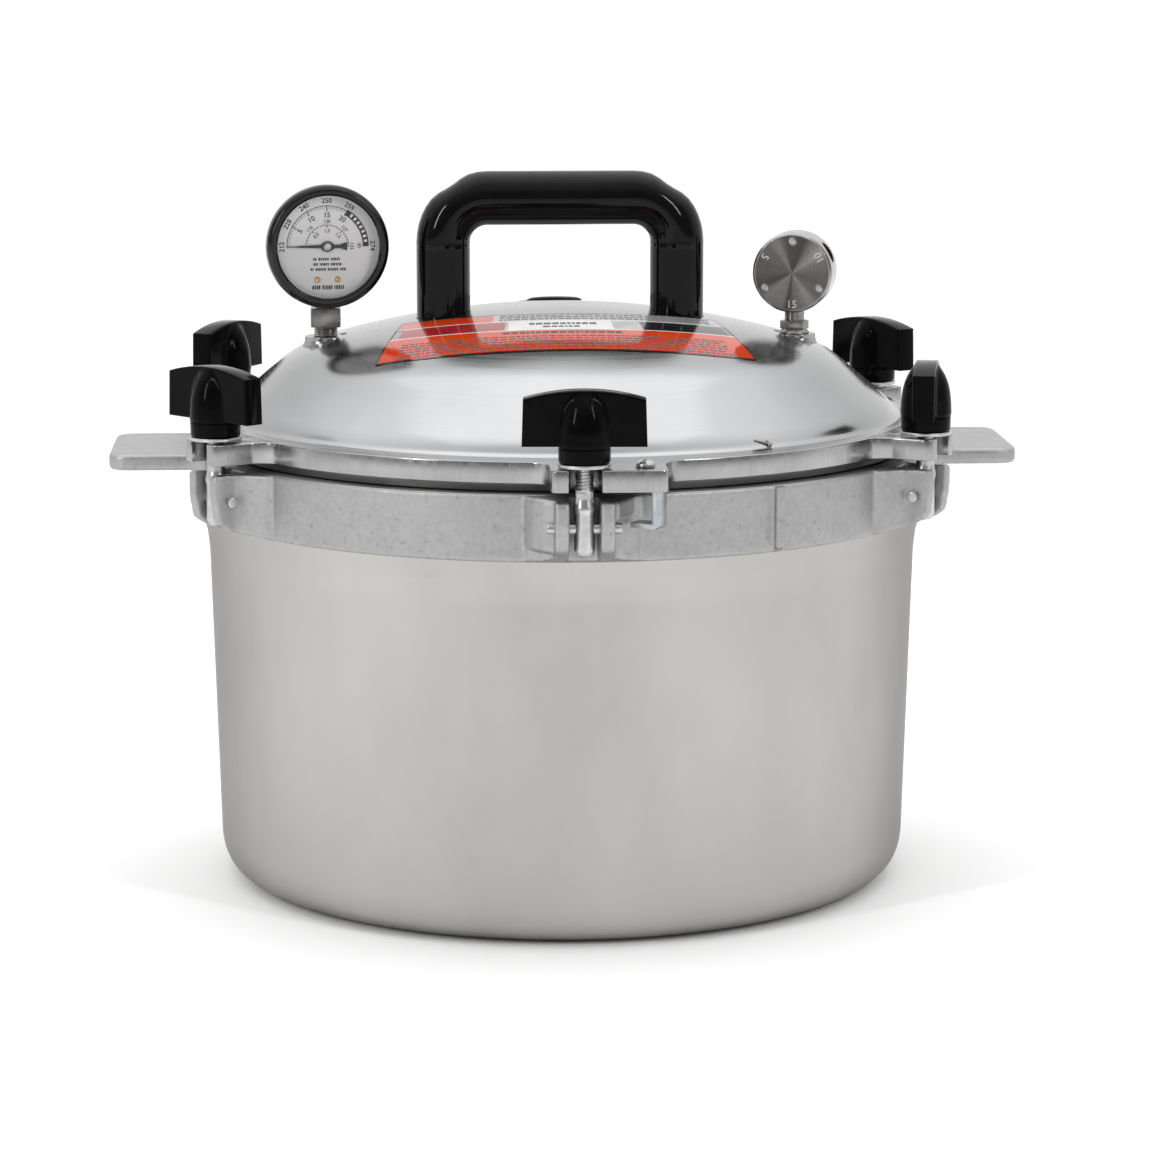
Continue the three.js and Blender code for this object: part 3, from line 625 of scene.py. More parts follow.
BLACK = ((0.0015, 0.0015, 0.0018), (0.003, 0.003, 0.0034))
LOOKS = {
    "wall": turned_wall_look(),
    "cast": cast_look(),
    "dome": polished_look(),
    "machined": machined_look(),
    "handle": plain_look("polished_phenolic", BLACK, (0.05, 0.1), 120, 0.02, level=0.17),
    "phenolic": plain_look("black_phenolic", BLACK, (0.08, 0.15), 120, 0.02, level=0.05),
    "steel": metal_look("bright_steel", 0.46, 0.56, (0.24, 0.38), 200, 0.02),
    "zinc": plain_look("zinc_plate", ((0.34, 0.37, 0.39), (0.46, 0.49, 0.5)), (0.24, 0.42), 160, 0.04, 1.0),
    "fitting": metal_look("stainless_fitting", 0.2, 0.3, (0.22, 0.36), 180, 0.03, 0.04),
    "bezel": plain_look("black_enamel", BLACK, (0.1, 0.18), 160, 0.01, level=0.4),
    "cup": metal_look("bright_case", 0.5, 0.6, (0.2, 0.32), 120, 0.01),
    "glass": glass_look(),
    "dial": plain_look("dial_white", (grey(0.93), grey(0.96)), (0.45, 0.6), 500, 0.01),
    "ink": plain_look("black_ink", (grey(0.012), grey(0.022)), (0.4, 0.55), 700, 0.01),
    "brass": plain_look("brass", ((0.56, 0.36, 0.13), (0.68, 0.46, 0.2)), (0.22, 0.36), 300, 0.02, 1.0),
    "weight": weight_look(),
    "rim": metal_look("turned_rim", 0.26, 0.36, (0.14, 0.24), 220, 0.01, 0.02),
    "rubber": plain_look("black_rubber", (grey(0.014), grey(0.024)), (0.5, 0.7), 300, 0.06),
    "film_orange": film_look("film_orange", (0.5, 0.035, 0.004), (0.58, 0.05, 0.008)),
    "film_maroon": film_look("film_maroon", (0.26, 0.012, 0.014), (0.32, 0.02, 0.022)),
    "film_grey": film_look("film_grey", grey(0.3), grey(0.4)),
    "film_white": film_look("film_white", grey(0.6), grey(0.68)),
    "film_black": film_look("film_black", grey(0.01), grey(0.02)),
    "greek": plain_look("film_print", (grey(0.05), grey(0.1)), (0.4, 0.5), 900, 0.01),
    "digits": plain_look("engraved_light", (grey(0.55), grey(0.68)), (0.4, 0.55), 700, 0.01),
    "floor": plain_look("studio_floor", (grey(0.93), grey(0.96)), (0.6, 0.75), 2, 0.001, level=0.2),
}

# ---- pot


def pot_wall():
    """The turned shell: wall, flare, rim, bevelled seat, bore and floor."""
    return spun([
        (0, 0, 0), (FOOT_R - 1, 0, 21), (WALL_R, 152, 60), (WALL_R + 1, 161, 12),
        (BAND_R - 1.4, BAND_Z - 0.6, 4), (BAND_R - 1, RIM_Z, 0.6), (SEAT_R, RIM_Z, 0.4),
        (MOUTH_R, 194.4, 1.5), (FOOT_R - WALL, WALL, 14), (0, WALL, 0),
    ], ROUND, steps=12)


def boss():
    """One clamp's boss on the band: two ears with a pocket between them."""
    profile = rounded([
        (150, 168, 0), (168, 171, 8), (178.5, 174, 6), (185, 178, 5), (EAR_END_R + 1, EAR_Z - 2.1, 2),
        (EAR_END_R - 1.5, EAR_Z, 1), (150, EAR_Z, 0),
    ])
    halves = []
    for side in (1, -1):
        plan = rounded([
            (158, 28.5 * side, 0), (166.5, 24 * side, 8), (172.5, 16 * side, 6), (176, EAR_OUTER * side, 4),
            (EAR_END_R, EAR_OUTER * side, 1.8), (EAR_END_R, EAR_GAP * side, 1.2), (160, EAR_GAP * side, 0),
        ])
        halves.append(carved(prism(plan, 160, 205), slab(profile, 40), "INTERSECT"))
    web = prism([(160, -8), (168.2, -8), (168.2, 8), (160, 8)], 171.5, EAR_Z)
    return union([*halves, web])


def side_tab():
    half = TAB_HALF_WIDTH
    side = [(155, -half - 12, 0), (160.5, -half - 5, 4), (168, -half, 7), (TAB_REACH, -half, 10)]
    plan = rounded([*side, *[(x, -y, radius) for x, y, radius in reversed(side)]], loop=True)
    low, high = TAB_Z
    return prism(plan, low, high + 0.2, 1.6)


def pot_band():
    """The rough cast band with its bosses, ears, tabs, catch and ridge, melted together."""
    ring = spun([
        (160, BAND_Z - 0.4, 0), (BAND_R, BAND_Z - 0.4, 1.2), (BAND_R, RIM_Z - 0.2, 0.4),
        (160, RIM_Z - 0.2, 0),
    ], ROUND, loop=True)
    parts = [ring, side_tab(), side_tab().moved(turn(180))]
    parts += [boss().moved(turn(angle)) for angle in LUG_ANGLES]
    bulge = rounded([
        (-27, -160, 0), (-24, -167, 3), (-21, -171.5, 3), (-17, -176, 3), (-EAR_OUTER, -179, 0),
        (-EAR_OUTER, -160, 0),
    ], loop=True)
    catch = rounded([
        (EAR_OUTER - 2, -160, 0), (EAR_OUTER - 2, -186, 1), (14.4, -184, 1.5), (17.4, -178, 2),
        (19.8, -172.6, 2), (22.3, -166.5, 1.5), (24, -160, 0),
    ], loop=True)
    parts += [prism(bulge, 176, EAR_Z, 2), prism(catch, 191.2, EAR_Z, 1.0)]
    ridge = slab([(160, BAND_Z + 0.5), (BAND_R + RIDGE_REACH, BAND_Z + 1.5),
                  (BAND_R + RIDGE_REACH, RIM_Z - 0.4), (160, RIM_Z - 0.4)], 2.3)
    parts.append(ridge.moved(turn(RIDGE_ANGLE)))
    made = cast(union(parts), voxel=0.8, passes=3)
    for p in made.points:
        p.z = min(p.z, RIM_Z - 0.1)
    return made


def rack():
    holes = [circle(*polar(ring_r, angle), RACK_HOLE_R, 24)
             for count, ring_r in RACK_RINGS for angle in round_angles(count)]
    plate = prism(circle(0, 0, RACK_R - 3, 96), RACK_Z, RACK_Z + 1.6, 0.4, holes)
    rim = spun([
        (RACK_R - 4, RACK_Z + 1.4, 0.5), (RACK_R - 2.4, RACK_Z + 1.2, 1), (RACK_R - 1.4, WALL + 2.6, 0.5),
        (RACK_R - 3, WALL + 2.6, 0.5), (RACK_R - 4.4, RACK_Z, 1),
    ], loop=True)
    return plate.add(rim)


# ---- lid


def plug_place():
    """The frame of the over-pressure plug, whose axis is the crown's own normal."""
    tilt = degrees(asin(PLUG_Y / CROWN_R))
    return shift(0, PLUG_Y, crown_z(PLUG_Y)) @ turn(-tilt, "X")


def dome():
    """The lid's turned body, from the crown down to the seal and the skirt's inside."""
    crown = [(r, crown_z(r)) for r in (0, 5, 12, 20, 30, 40, 50, 60, 70, 78, 86, 92, 97)]
    shoulder = rounded([
        (101, crown_z(101), 0), (121.2, crown_z(117) - 1.0, 60), (150, 218.6, 30), (153.8, 213.2, 5),
        (159.5, 212.42, 6), (160.4, 212.0, 0.5), (162.2, 203.0, 0), (156.4, 196, 0.6), (149, 196, 0.6),
        (149, 208, 3), (126.2, 231.6, 12), (116, 238.2, 8), (110, crown_z(110, -CROWN_SKIN), 0),
    ], steps=9)
    under = [(r, crown_z(r, -CROWN_SKIN)) for r in (85, 45, 0)]
    body = lathe([*crown, *shoulder, *under], ROUND)
    for x in (GAUGE_AT[0], VENT_AT[0]):
        body = carved(body, lathe([(0, 248), (9.6, 248), (9.6, 258), (0, 258)], 48).moved(shift(x, 0, 0)))
    hole = lathe([(0, -15), (6.3, -15), (6.3, 6), (0, 6)], 40).moved(plug_place())
    return carved(body, hole)


def spot_face(x):
    """Raised machined pad under a fitting."""
    pad = spun([
        (0, 240, 0), (11.5, 240, 0), (9.5, 246.2, 2), (9.5, 248.02, 0.4), (5.6, 248.02, 0), (5.6, 240.5, 0),
        (0, 240.5, 0),
    ], 64)
    return pad.moved(shift(x, 0, 0))


def lug_outline(left, right):
    """One lug's plan on the +X side, from its left root to its right root, slot open outwards."""
    end = LUG_END_R
    slot_end = SLOT_R + SLOT_HALF + 0.5
    slot = [(SLOT_R + SLOT_HALF - SLOT_HALF * sin(a), -SLOT_HALF * cos(a))
            for a in [pi * k / 12 for k in range(13)]]

    def root(y, sign):
        return sqrt(FLANGE_R ** 2 - y * y), y * sign

    first, last = left + 15, right + 15
    return [
        *rounded([(*root(first, -1), 0), (*root(left + 5, -1), 14), (167, -left, 11), (end, -left, 3.6),
                  (end, -SLOT_HALF - 0.25, 0.7), (slot_end, -SLOT_HALF, 0)], steps=8),
        *slot[1:-1],
        *rounded([(slot_end, SLOT_HALF, 0), (end, SLOT_HALF + 0.25, 0.7), (end, right, 3.6),
                  (167, right, 11), (*root(right + 5, 1), 14), (*root(last, 1), 0)], steps=8),
    ]


def flange():
    """The flat flange with its six slotted lugs."""
    low, high = FLANGE_Z
    outline = []
    for index, angle in enumerate(LUG_ANGLES):
        lug = lug_outline(LUG_HALF_WIDTH, HOOK_SIDE_WIDTH if angle == -90 else LUG_HALF_WIDTH)
        first, last = [degrees(atan2(y, x)) for x, y in (lug[0], lug[-1])]
        after = (LUG_ANGLES[(index + 1) % 6] - angle) % 360 + first
        spin = radians(angle)
        across, along = cos(spin), sin(spin)
        outline += [(x * across - y * along, x * along + y * across) for x, y in lug]
        steps = max(2, round((after - last) / 2.5))
        for k in range(1, steps):
            outline.append(polar(FLANGE_R, radians(angle + last + (after - last) * k / steps)))
    return prism(outline, low, high, 0.55, [circle(0, 0, FLANGE_BORE_R, ROUND)])


def casting_arrow():
    """A small raised pointer cast on the dome's toe, to line the lid up by."""
    outline = [(-4, 1.9), (2.2, -0.4), (2.0, 0.7), (4.2, -1.5), (1.2, -2.2), (1.8, -1.3), (-4.2, 1.0)]
    arrow = prism(outline, -1, 0.7, 0.15)
    on_toe = shift(ARROW_R, 0, ARROW_Z) @ turn(ARROW_SLOPE, "Y")
    return arrow.moved(turn(ARROW_BEARING) @ on_toe @ turn(90))


# ---- label film


def film_point(s, t, height):
    """A point of the label: s runs across from -1 to 1, t from its lower edge up to 1."""
    low, high = [Vector((s * half - LABEL_SHIFT, middle + rise * s * s))
                 for half, middle, rise in (LABEL_BOTTOM, LABEL_TOP)]
    flat = low.lerp(high, t)
    return (flat.x, flat.y, crown_z(flat.length) + height)


def film(s0, s1, t0, t1, height=FILM_HEIGHT):
    """A patch of the label film that lies on the dome."""
    across = max(2, round((s1 - s0) * 40))
    up = max(2, round((t1 - t0) * 20))
    rows = []
    for j in range(up + 1):
        t = t0 + (t1 - t0) * j / up
        rows.append([film_point(s0 + (s1 - s0) * i / across, t, height) for i in range(across + 1)])
    return skin(rows)


def greeked(s0, s1, t0, t1, lines, seed):
    """Rows of short dashes that stand for small print."""
    made = Form()
    for line in range(lines):
        low = t0 + (t1 - t0) * (line + 0.25) / lines
        high = t0 + (t1 - t0) * (line + 0.68) / lines
        s = s0
        k = seed + line * 17
        while s < s1:
            k += 1
            width = 0.012 + 0.03 * abs(sin(k * 12.9898))
            if s + width < s1:
                made.add(film(s, s + width, low, high, FILM_HEIGHT + 0.05))
            s += width + 0.008
    return made


# ---- clamps


def closed(tube, around):
    """A tube with flat ends put on its first and last rows."""
    count = len(tube.points)
    tube.faces += [list(range(around)), list(range(count - around, count))]
    return tube


def threaded_rod(low, high, radius, pitch, depth):
    """A rod with a real helical V thread, its ends closed."""
    segments = 28
    rows = []
    steps = round((high - low) / pitch * 8)
    for j in range(steps + 1):
        z = low + (high - low) * j / steps
        fade = min(1.0, (z - low) / pitch, (high - z) / pitch)
        row = []
        for k, angle in enumerate(round_angles(segments)):
            phase = (z / pitch - k / segments) % 1.0
            cut = depth * abs(2 * phase - 1) * fade
            row.append((*polar(radius - cut, angle), z))
        rows.append(row)
    return closed(skin(rows, loop_rows=True), segments)


def clamp_bolt():
    barrel = spun([
        (0, BOLT_FOOT_Z, 0), (3.0, BOLT_FOOT_Z + 0.3, 1.5), (BARREL_R, BOLT_FOOT_Z + 3, 1.5),
        (BARREL_R, 193, 1), (BARREL_R + 0.5, 195.2, 0.6), (BARREL_R + 0.4, 196.2, 0.5),
        (THREAD_R + 0.1, 199.5, 1), (THREAD_R, 203, 0), (0, 203, 0),
    ], 40)
    return barrel.add(threaded_rod(202.2, BOLT_TOP_Z, THREAD_R + 0.1, THREAD_PITCH, THREAD_DEPTH))


def hinge_pin():
    half = PIN_HALF
    pin = spun([(0, -half, 0), (PIN_R, -half, 0.7), (PIN_R, half, 0.7), (0, half, 0)], 28)
    return pin.moved(turn(90, "X"))


def nut_insert():
    return spun([
        (4.3, 213.1, 0.3), (11.3, 213.1, 0.4), (11.3, 214.6, 0.4), (7, 214.6, 0.3), (7, 236, 0.3),
        (4.3, 236, 0.3),
    ], 64, loop=True)


def soft_max(a, b, width):
    blend = max(width - abs(a - b), 0) / width
    return max(a, b) + blend * blend * width / 4


def hub_radius(z):
    """The nut's hub: a slight taper, then closing like a bullet."""
    t = max(0.0, min(1.0, (z - HUB_SHOULDER_Z) / HUB_NOSE))
    return (HUB_R + 0.2 - 0.05 * (z - WING_Z)) * sqrt(1 - t ** 2.5)


def wing_point(u, v, side):
    """A point of the nut's front or back: u runs along the wing and v up it, from 0 to 1."""
    s = 2 * u - 1
    x = s * (WING_SPAN - WING_TAPER * v)
    top = WING_TOP_Z - (WING_TOP_Z - WING_END_Z) * s * s
    z = WING_Z + (top - WING_Z) * v
    rim = min(u * 2 * WING_SPAN, (1 - u) * 2 * WING_SPAN, (1 - v) * (top - WING_Z), v * (top - WING_Z),
              WING_EDGE)
    eased = WING_EDGE - sqrt(WING_EDGE * WING_EDGE - (WING_EDGE - rim) ** 2)
    hub = hub_radius(z)
    swell = sqrt(max(0.0, hub * hub - x * x))
    return x, side * (soft_max(WING_THICK, swell, HUB_BLEND) - eased), z


def wing_nut():
    """The moulded nut: an arched wing with crisp edges that the round hub swells out of."""
    fine = [0, 0.004, 0.012, 0.024, 0.045]
    across = [*fine, *[0.08 + 0.84 * k / 40 for k in range(41)], *[1 - f for f in reversed(fine)]]
    up = [*[f * 1.3 for f in fine], *[0.09 + 0.82 * k / 22 for k in range(23)],
          *[1 - f * 1.3 for f in reversed(fine)]]
    front, back = [[[wing_point(u, v, side) for u in across] for v in up] for side in (-1, 1)]
    made = skin(front).add(skin(back))
    for end in (0, -1):
        made.add(skin([front[end], back[end]]))
    for end in (0, -1):
        made.add(skin([[row[end] for row in front], [row[end] for row in back]]))
    collar = spun([
        (7.3, 214.9, 0.3), (HUB_R - 0.25, 214.9, 0.8), (HUB_R - 0.1, 220.7, 0.1), (HUB_R - 0.5, 221.0, 0.1),
        (HUB_R - 0.05, 221.3, 0.1), (HUB_R - 0.05, HUB_SHOULDER_Z, 0.2), (7.3, HUB_SHOULDER_Z, 0.2),
    ], 72, loop=True)
    return made.add(collar)


# ---- handle, hook and screw


def handle_path():
    """The handle's centre line as (x, z, direction) stations, foot to foot."""
    steps = 12
    bend = HANDLE_BEND_R
    corner_x = HANDLE_FOOT_X - bend
    corner_z = GRIP_Z - bend
    leg = corner_z - HANDLE_FOOT_Z
    stations = [(-HANDLE_FOOT_X, HANDLE_FOOT_Z + leg * k / steps, 90.0) for k in range(steps)]
    stations += [(-HANDLE_FOOT_X, corner_z - drop, 90.0) for drop in (0.7, SEAM_DROP, 0.1)]
    for k in range(steps + 1):
        a = 180 - 90 * k / steps
        r = radians(a)
        stations.append((-corner_x + bend * cos(r), corner_z + bend * sin(r), a - 90))
    grip = [(-corner_x * k / 6, GRIP_Z, 0.0) for k in (4, 2, 0, -2, -4)]
    return [*stations, *grip, *[(-x, z, -direction) for x, z, direction in reversed(stations)]]


def handle():
    """A round bail with mould seams, a flat on each outer corner and feet that sit on the crown."""
    rows = []
    round_steps = 64
    seam_z = GRIP_Z - HANDLE_BEND_R - SEAM_DROP
    for x, z, direction in handle_path():
        along = Vector((cos(radians(direction)), 0, sin(radians(direction))))
        outward = Vector((-along.z, 0, along.x))
        bend = abs(direction)
        flat = 1.9 * exp(-((bend - 33) / 13) ** 2) if 0 < bend < 90 else 0.0
        on_seam = bend == 90 and abs(z - seam_z) < 0.05
        foot = max(0.0, 1 - (z - HANDLE_FOOT_Z) / 6)
        row = []
        for up, side in [polar(1, a) for a in round_angles(round_steps)]:
            r = HANDLE_R - flat * max(0.0, up) ** 3
            seam = abs(abs(degrees(atan2(side, -up))) - 58)
            r -= 0.35 * exp(-(seam / 3.2) ** 2)
            r += 0.5 * foot * foot
            if on_seam:
                r += 0.1
            p = Vector((x, 0, z)) + outward * (up * r) + Vector((0, 1, 0)) * (side * r)
            p.x += HANDLE_X
            ground = crown_z(hypot(p.x, p.y)) + 0.05
            if z < HANDLE_FOOT_Z + 0.5 or p.z < ground:
                p.z = ground
            row.append(tuple(p))
        rows.append(row)
    return closed(skin(rows, loop_rows=True), round_steps)


def hook():
    """The bent strip under the front lug, with its leg, drop and toe."""
    half = 1.25
    outline = rounded([
        (-9.2, 205.5, 0.4), (half, 205.5, 1.4), (half, 186.6, 2.4), (-11.5, 186.6, 0.5),
        (-11.5, 189.1, 0.5), (-half, 189.1, 1.0), (-half, 203, 0.6), (-9.2, 203, 0.3),
    ], loop=True)
    strip = slab(outline, 4.25, 0.35)
    return strip.moved(shift(*HOOK_AT, 0) @ turn(HOOK_TURN))


def hook_screw():
    """Slotted round-head screw on the front lug."""
    seat = FLANGE_Z[1] + 0.3
    head = spun([
        (0, 203.2, 0), (2, 203.2, 0.2), (2, seat, 0), (4.2, seat, 0.2), (4.2, seat + 1.1, 0.8),
        (3.2, seat + 2.4, 1.5), (0, seat + 2.8, 0),
    ], 48)
    slot = prism(rectangle(6, 0.5), seat + 1.2, seat + 4)
    return carved(head, slot.moved(turn(70))).moved(shift(*HOOK_SCREW_AT, 0))


# ---- gauge


def dial_spun(corners, segments=96, loop=False):
    """Turned about the dial's own axis: heights run from the front, negative, to the back."""
    return spun(corners, segments, loop).moved(turn(-90, "X"))


def gauge_bezel():
    return dial_spun([
        (23.2, -12.25, 0.1), (23.2, -12.7, 0.2), (24.1, -13.2, 0.5), (25.9, -13.2, 1.2), (27.6, -11.8, 1.4),
        (BEZEL_R, -9.8, 1.2), (BEZEL_R, -6.5, 0.5), (26.2, -6.5, 0.1), (26.2, -12.25, 0.1),
    ], loop=True)


def gauge_cup():
    return dial_spun([
        (0, 10, 0), (24.2, 10, 3), (CASE_R, -1, 2), (CASE_R, -9.8, 0.2), (25.0, -9.8, 0.2), (25.0, 6, 1),
        (22.9, 9.1, 2), (0, 9.1, 0),
    ])


def glass_disc():
    return dial_spun([(0, -12, 0), (CASE_R, -12, 0.2), (CASE_R, -10.1, 0.2), (0, -10.1, 0)])


def dial_face():
    """The dial, slightly dished at its rim."""
    return dial_spun([
        (0, DIAL_Y, 0), (23.2, DIAL_Y, 1.5), (24.7, DIAL_Y - 0.7, 0.2), (24.7, DIAL_Y + 0.5, 0.2),
        (23.2, DIAL_Y + 0.8, 0.4), (0, DIAL_Y + 0.8, 0),
    ])


def dial_mark(r0, r1, angle, width):
    """A radial bar printed on the dial."""
    a = radians(angle)
    out = Vector((cos(a), 0, sin(a)))
    across = Vector((-sin(a), 0, cos(a))) * width / 2
    lift = Vector((0, INK_Y, 0))
    return Form([lift + out * r + across * s for r, s in ((r0, -1), (r1, -1), (r1, 1), (r0, 1))],
                [[0, 1, 2, 3]])


def dial_arc(r0, r1, first, last, lift=0.05):
    """A printed arc band."""
    steps = max(4, round(abs(last - first) / 3))
    rows = []
    for r in (r0, r1):
        angles = [radians(first + (last - first) * k / steps) for k in range(steps + 1)]
        rows.append([(x, DIAL_Y - lift, z) for x, z in [polar(r, a) for a in angles]])
    return skin(rows)


def dial_digits(body, radius, angle, height):
    """Numbers round the dial, upright along the radius."""
    x, z = polar(radius, radians(angle))
    at = shift(x, INK_Y, z)
    return lettering(body, height).moved(at @ turn(90 - angle, "Y"))


def dial_print():
    """Two scales over the upper half, and rows of small print as plain dashes."""
    made = union([dial_arc(18.2, 18.5, 180, 0), dial_arc(9.6, 9.85, 180, 0)])
    for count, every, inner, outer, widths in DIAL_TICKS:
        for k in range(count):
            long = k % every == 0
            made.add(dial_mark(inner[long], outer[long], 180 - 180 * k / (count - 1), widths[long]))
    for bodies, radius, first, step, height in DIAL_NUMBERS:
        for k, body in enumerate(bodies):
            made.add(dial_digits(body, radius, first - step * k, height))
    for row, half in enumerate((6.6, 6.4, 7.8)):
        made.add(dial_dashes(half, -6.4 - 2.3 * row, 1.2, 3 + row * 5))
    made.add(dial_dashes(7.0, -19.5, 1.8, 31))
    return made


def dial_dashes(half, level, height, seed):
    """A row of little upright bars that stands for a line of print."""
    made = Form()
    x = -half
    k = seed
    while x < half:
        k += 1
        gap = 0.9 if k % 5 == 0 else 0.24
        width = 0.4 + 0.5 * abs(sin(k * 7.13))
        corners = ((x, level), (x + width, level), (x + width, level + height), (x, level + height))
        made.add(Form([(cx, INK_Y, cz) for cx, cz in corners], [[0, 1, 2, 3]]))
        x += width + gap
    return made


def scale_blocks():
    """The light blocks on the dial's dark band at the end of its scale."""
    return union([dial_arc(16.9, 18.4, 52.5 - 7.2 * k, 48.9 - 7.2 * k, 0.09) for k in range(7)])


def pointer_blade():
    upper = [(-12, 0.42, 0.4), (-3, 0.75, 0.4), (-2, 1.8, 0.5), (0, 2.6, 1), (2, 1.8, 0.5), (3.2, 0.8, 0.4),
             (5.6, 0.8, 0.6), (9, 1.9, 0.1)]
    lower = [(x, -z, radius) for x, z, radius in reversed(upper)]
    outline = rounded([(-19.4, 0, 0.1), *upper, *lower], loop=True)
    return prism(outline, 0, 0.5, 0.08).moved(shift(0, -8.5, 0) @ turn(90, "X"))


def pointer_cap():
    return dial_spun([
        (0, -9.55, 0), (1.1, -9.6, 0.2), (1.3, -9.75, 0.1), (1.7, -9.72, 0.2), (1.85, -9, 0.1), (0, -9, 0),
    ], 48)


def dial_screw(x):
    head = dial_spun([
        (0, DIAL_Y - 0.9, 0), (1.1, DIAL_Y - 0.78, 0.4), (1.4, DIAL_Y - 0.3, 0.1), (1.4, DIAL_Y, 0),
        (0.65, DIAL_Y, 0), (0.65, -4, 0), (0, -4, 0),
    ], 32)
    slot = slab(rectangle(3, 0.17), 0.3).moved(shift(0, DIAL_Y - 0.8, 0))
    return carved(head, slot.moved(turn(25, "Y"))).moved(shift(x, 0, -15))


def gauge_socket():
    """Square body with its neck and pipe thread."""
    plan = rounded([(x, y, 0.8) for x, y in rectangle(6.8, 6.8)], loop=True, steps=3)
    square = prism(plan, -37.1, -28.4, 0.5)
    neck = spun([(0, -29, 0), (4.8, -29, 0), (4.8, -22, 0.3), (0, -22, 0)], 32)
    return union([square, neck, threaded_rod(-50, -37, 5.5, 0.94, 0.4)])


# ---- vent pipe, weight and plug


def vent_pipe():
    pipe = spun([
        (1.6, 236, 0.2), (3.7, 236, 0.5), (4.5, 237, 0.3), (4.5, 262, 2), (3.4, 270, 0.5), (2.8, 271, 0.3),
        (1.6, 271, 0.2),
    ], 48, loop=True)
    hexagon = prism(circle(0, 0, 6.6, 6), 250, 253.9, 0.5, [circle(0, 0, 4.4, 24)])
    nose = spun([(4.4, 248.1, 0), (7.2, 248.1, 0.4), (5.6, 250.2, 0.3), (4.4, 250.2, 0)], 48, loop=True)
    return union([pipe, hexagon, nose]).moved(shift(*VENT_AT))


def weight_disc():
    """The steel disc with three radial sockets in its rim and three pin holes in its face."""
    disc = dial_spun([
        (0, -WEIGHT_HALF + 0.25, 0), (1.0, -WEIGHT_HALF, 0.1), (WEIGHT_R - 0.9, -WEIGHT_HALF, 0.3),
        (WEIGHT_R, -WEIGHT_HALF + 0.9, 0.5), (WEIGHT_R, WEIGHT_HALF - 0.9, 0.5),
        (WEIGHT_R - 0.9, WEIGHT_HALF, 0.3), (0, WEIGHT_HALF, 0),
    ], 120)
    for spin in (0, 120, 240):
        depth = -3.8 if spin == 0 else -7
        socket = lathe([(0, -30), (5.2, -30), (5.2, depth), (0, depth)], 40)
        disc = carved(disc, socket.moved(turn(spin, "Y")))
    for angle in WEIGHT_PIN_ANGLES:
        disc = carved(disc, weight_pin(angle, WEIGHT_PIN_HOLE_R, -WEIGHT_HALF - 1, -WEIGHT_HALF + 1.1))
    return disc


def weight_face():
    """The face's turned skin, inside the disc's rounded edge."""
    level = -WEIGHT_HALF - 0.02
    face = lathe([(0, level + 0.2), (1.0, level), (WEIGHT_R - 1.3, level), (WEIGHT_R - 1.3, level + 0.6),
                  (0, level + 0.6)], 120).moved(turn(-90, "X"))
    for angle in WEIGHT_PIN_ANGLES:
        face = carved(face, weight_pin(angle, WEIGHT_PIN_HOLE_R, level - 1, level + 1.1))
    return face


def weight_pin(angle, radius, front, back):
    x, z = polar(WEIGHT_PIN_CIRCLE, radians(angle))
    pin = dial_spun([(0, front, 0), (radius, front, radius * 0.5), (radius, back, 0), (0, back, 0)], 28)
    return pin.moved(shift(x, 0, z))


def weight_digits():
    made = Form()
    for body, angle in (("15", 270), ("5", 150), ("10", 30)):
        x, z = polar(WEIGHT_DIGITS_R, radians(angle))
        at = shift(x, -WEIGHT_HALF - 0.06, z)
        made.add(lettering(body, 3.7, 0.0).moved(at @ turn(270 - angle, "Y")))
    return made


def plug():
    head = spun([
        (0, -9, 0), (5.4, -9, 0.8), (6, -7.6, 0.4), (6, 0.5, 0.4), (13, 0.5, 0.3), (13, 1.2, 0.5),
        (11.2, 1.9, 1.0), (4.2, 1.5, 0.8), (3.4, 1.9, 0.4), (0, 1.9, 0),
    ], 64)
    return head.moved(plug_place())


# ---- assembly

piece("pot_wall", pot_wall(), "pot", "wall", "pot_aluminium", "pot_body")
piece("pot_cast_band", pot_band(), "pot", "cast", "pot_aluminium", "pot_body", crease=50)
piece("rack_plate", rack(), "pot", "machined", "rack_aluminium", "canning_rack")

piece("lid_dome", dome(), "lid", "dome", "lid_aluminium", "lid")
piece("lid_flange", flange(), "lid", "machined", "lid_aluminium", "lid")
piece("lid_spot_faces", union([spot_face(GAUGE_AT[0]), spot_face(VENT_AT[0])]), "lid", "machined",
      "lid_aluminium", "lid")
piece("lid_casting_arrow", casting_arrow(), "lid", "fitting", "lid_aluminium", "lid")

for name, look, patches in (
    ("label_lower_band", "film_orange", [(-1, 1, 0, BAND_TOP), (-1, -0.42, STRIP_BOTTOM, 1.0)]),
    ("label_banner", "film_maroon", [(-0.95, -0.34, *BOXES)]),
    ("label_strip", "film_grey",
     [(-0.42, 1, STRIP_BOTTOM, 1.0), (-0.34, -0.32, *BOXES), (0.29, 0.46, *BOXES)]),
    ("label_light_box", "film_white",
     [(-0.32, 0.29, *BOXES), (-1, 1, BAND_TOP, BOXES[0]), (-1, 1, BOXES[1], STRIP_BOTTOM)]),
    ("label_dark_box", "film_black", [(0.46, 0.97, *BOXES)]),
):
    piece(name, union([film(*patch) for patch in patches]), "lid", look, "label")
border = [(-1, 1, 0, 0.03), (-1, -0.993, 0, 1), (0.993, 1, 0, 1), (-1, 1, 0.985, 1)]
piece("label_border", union([film(*patch, FILM_HEIGHT + 0.04) for patch in border]), "lid", "film_black",
      "label")
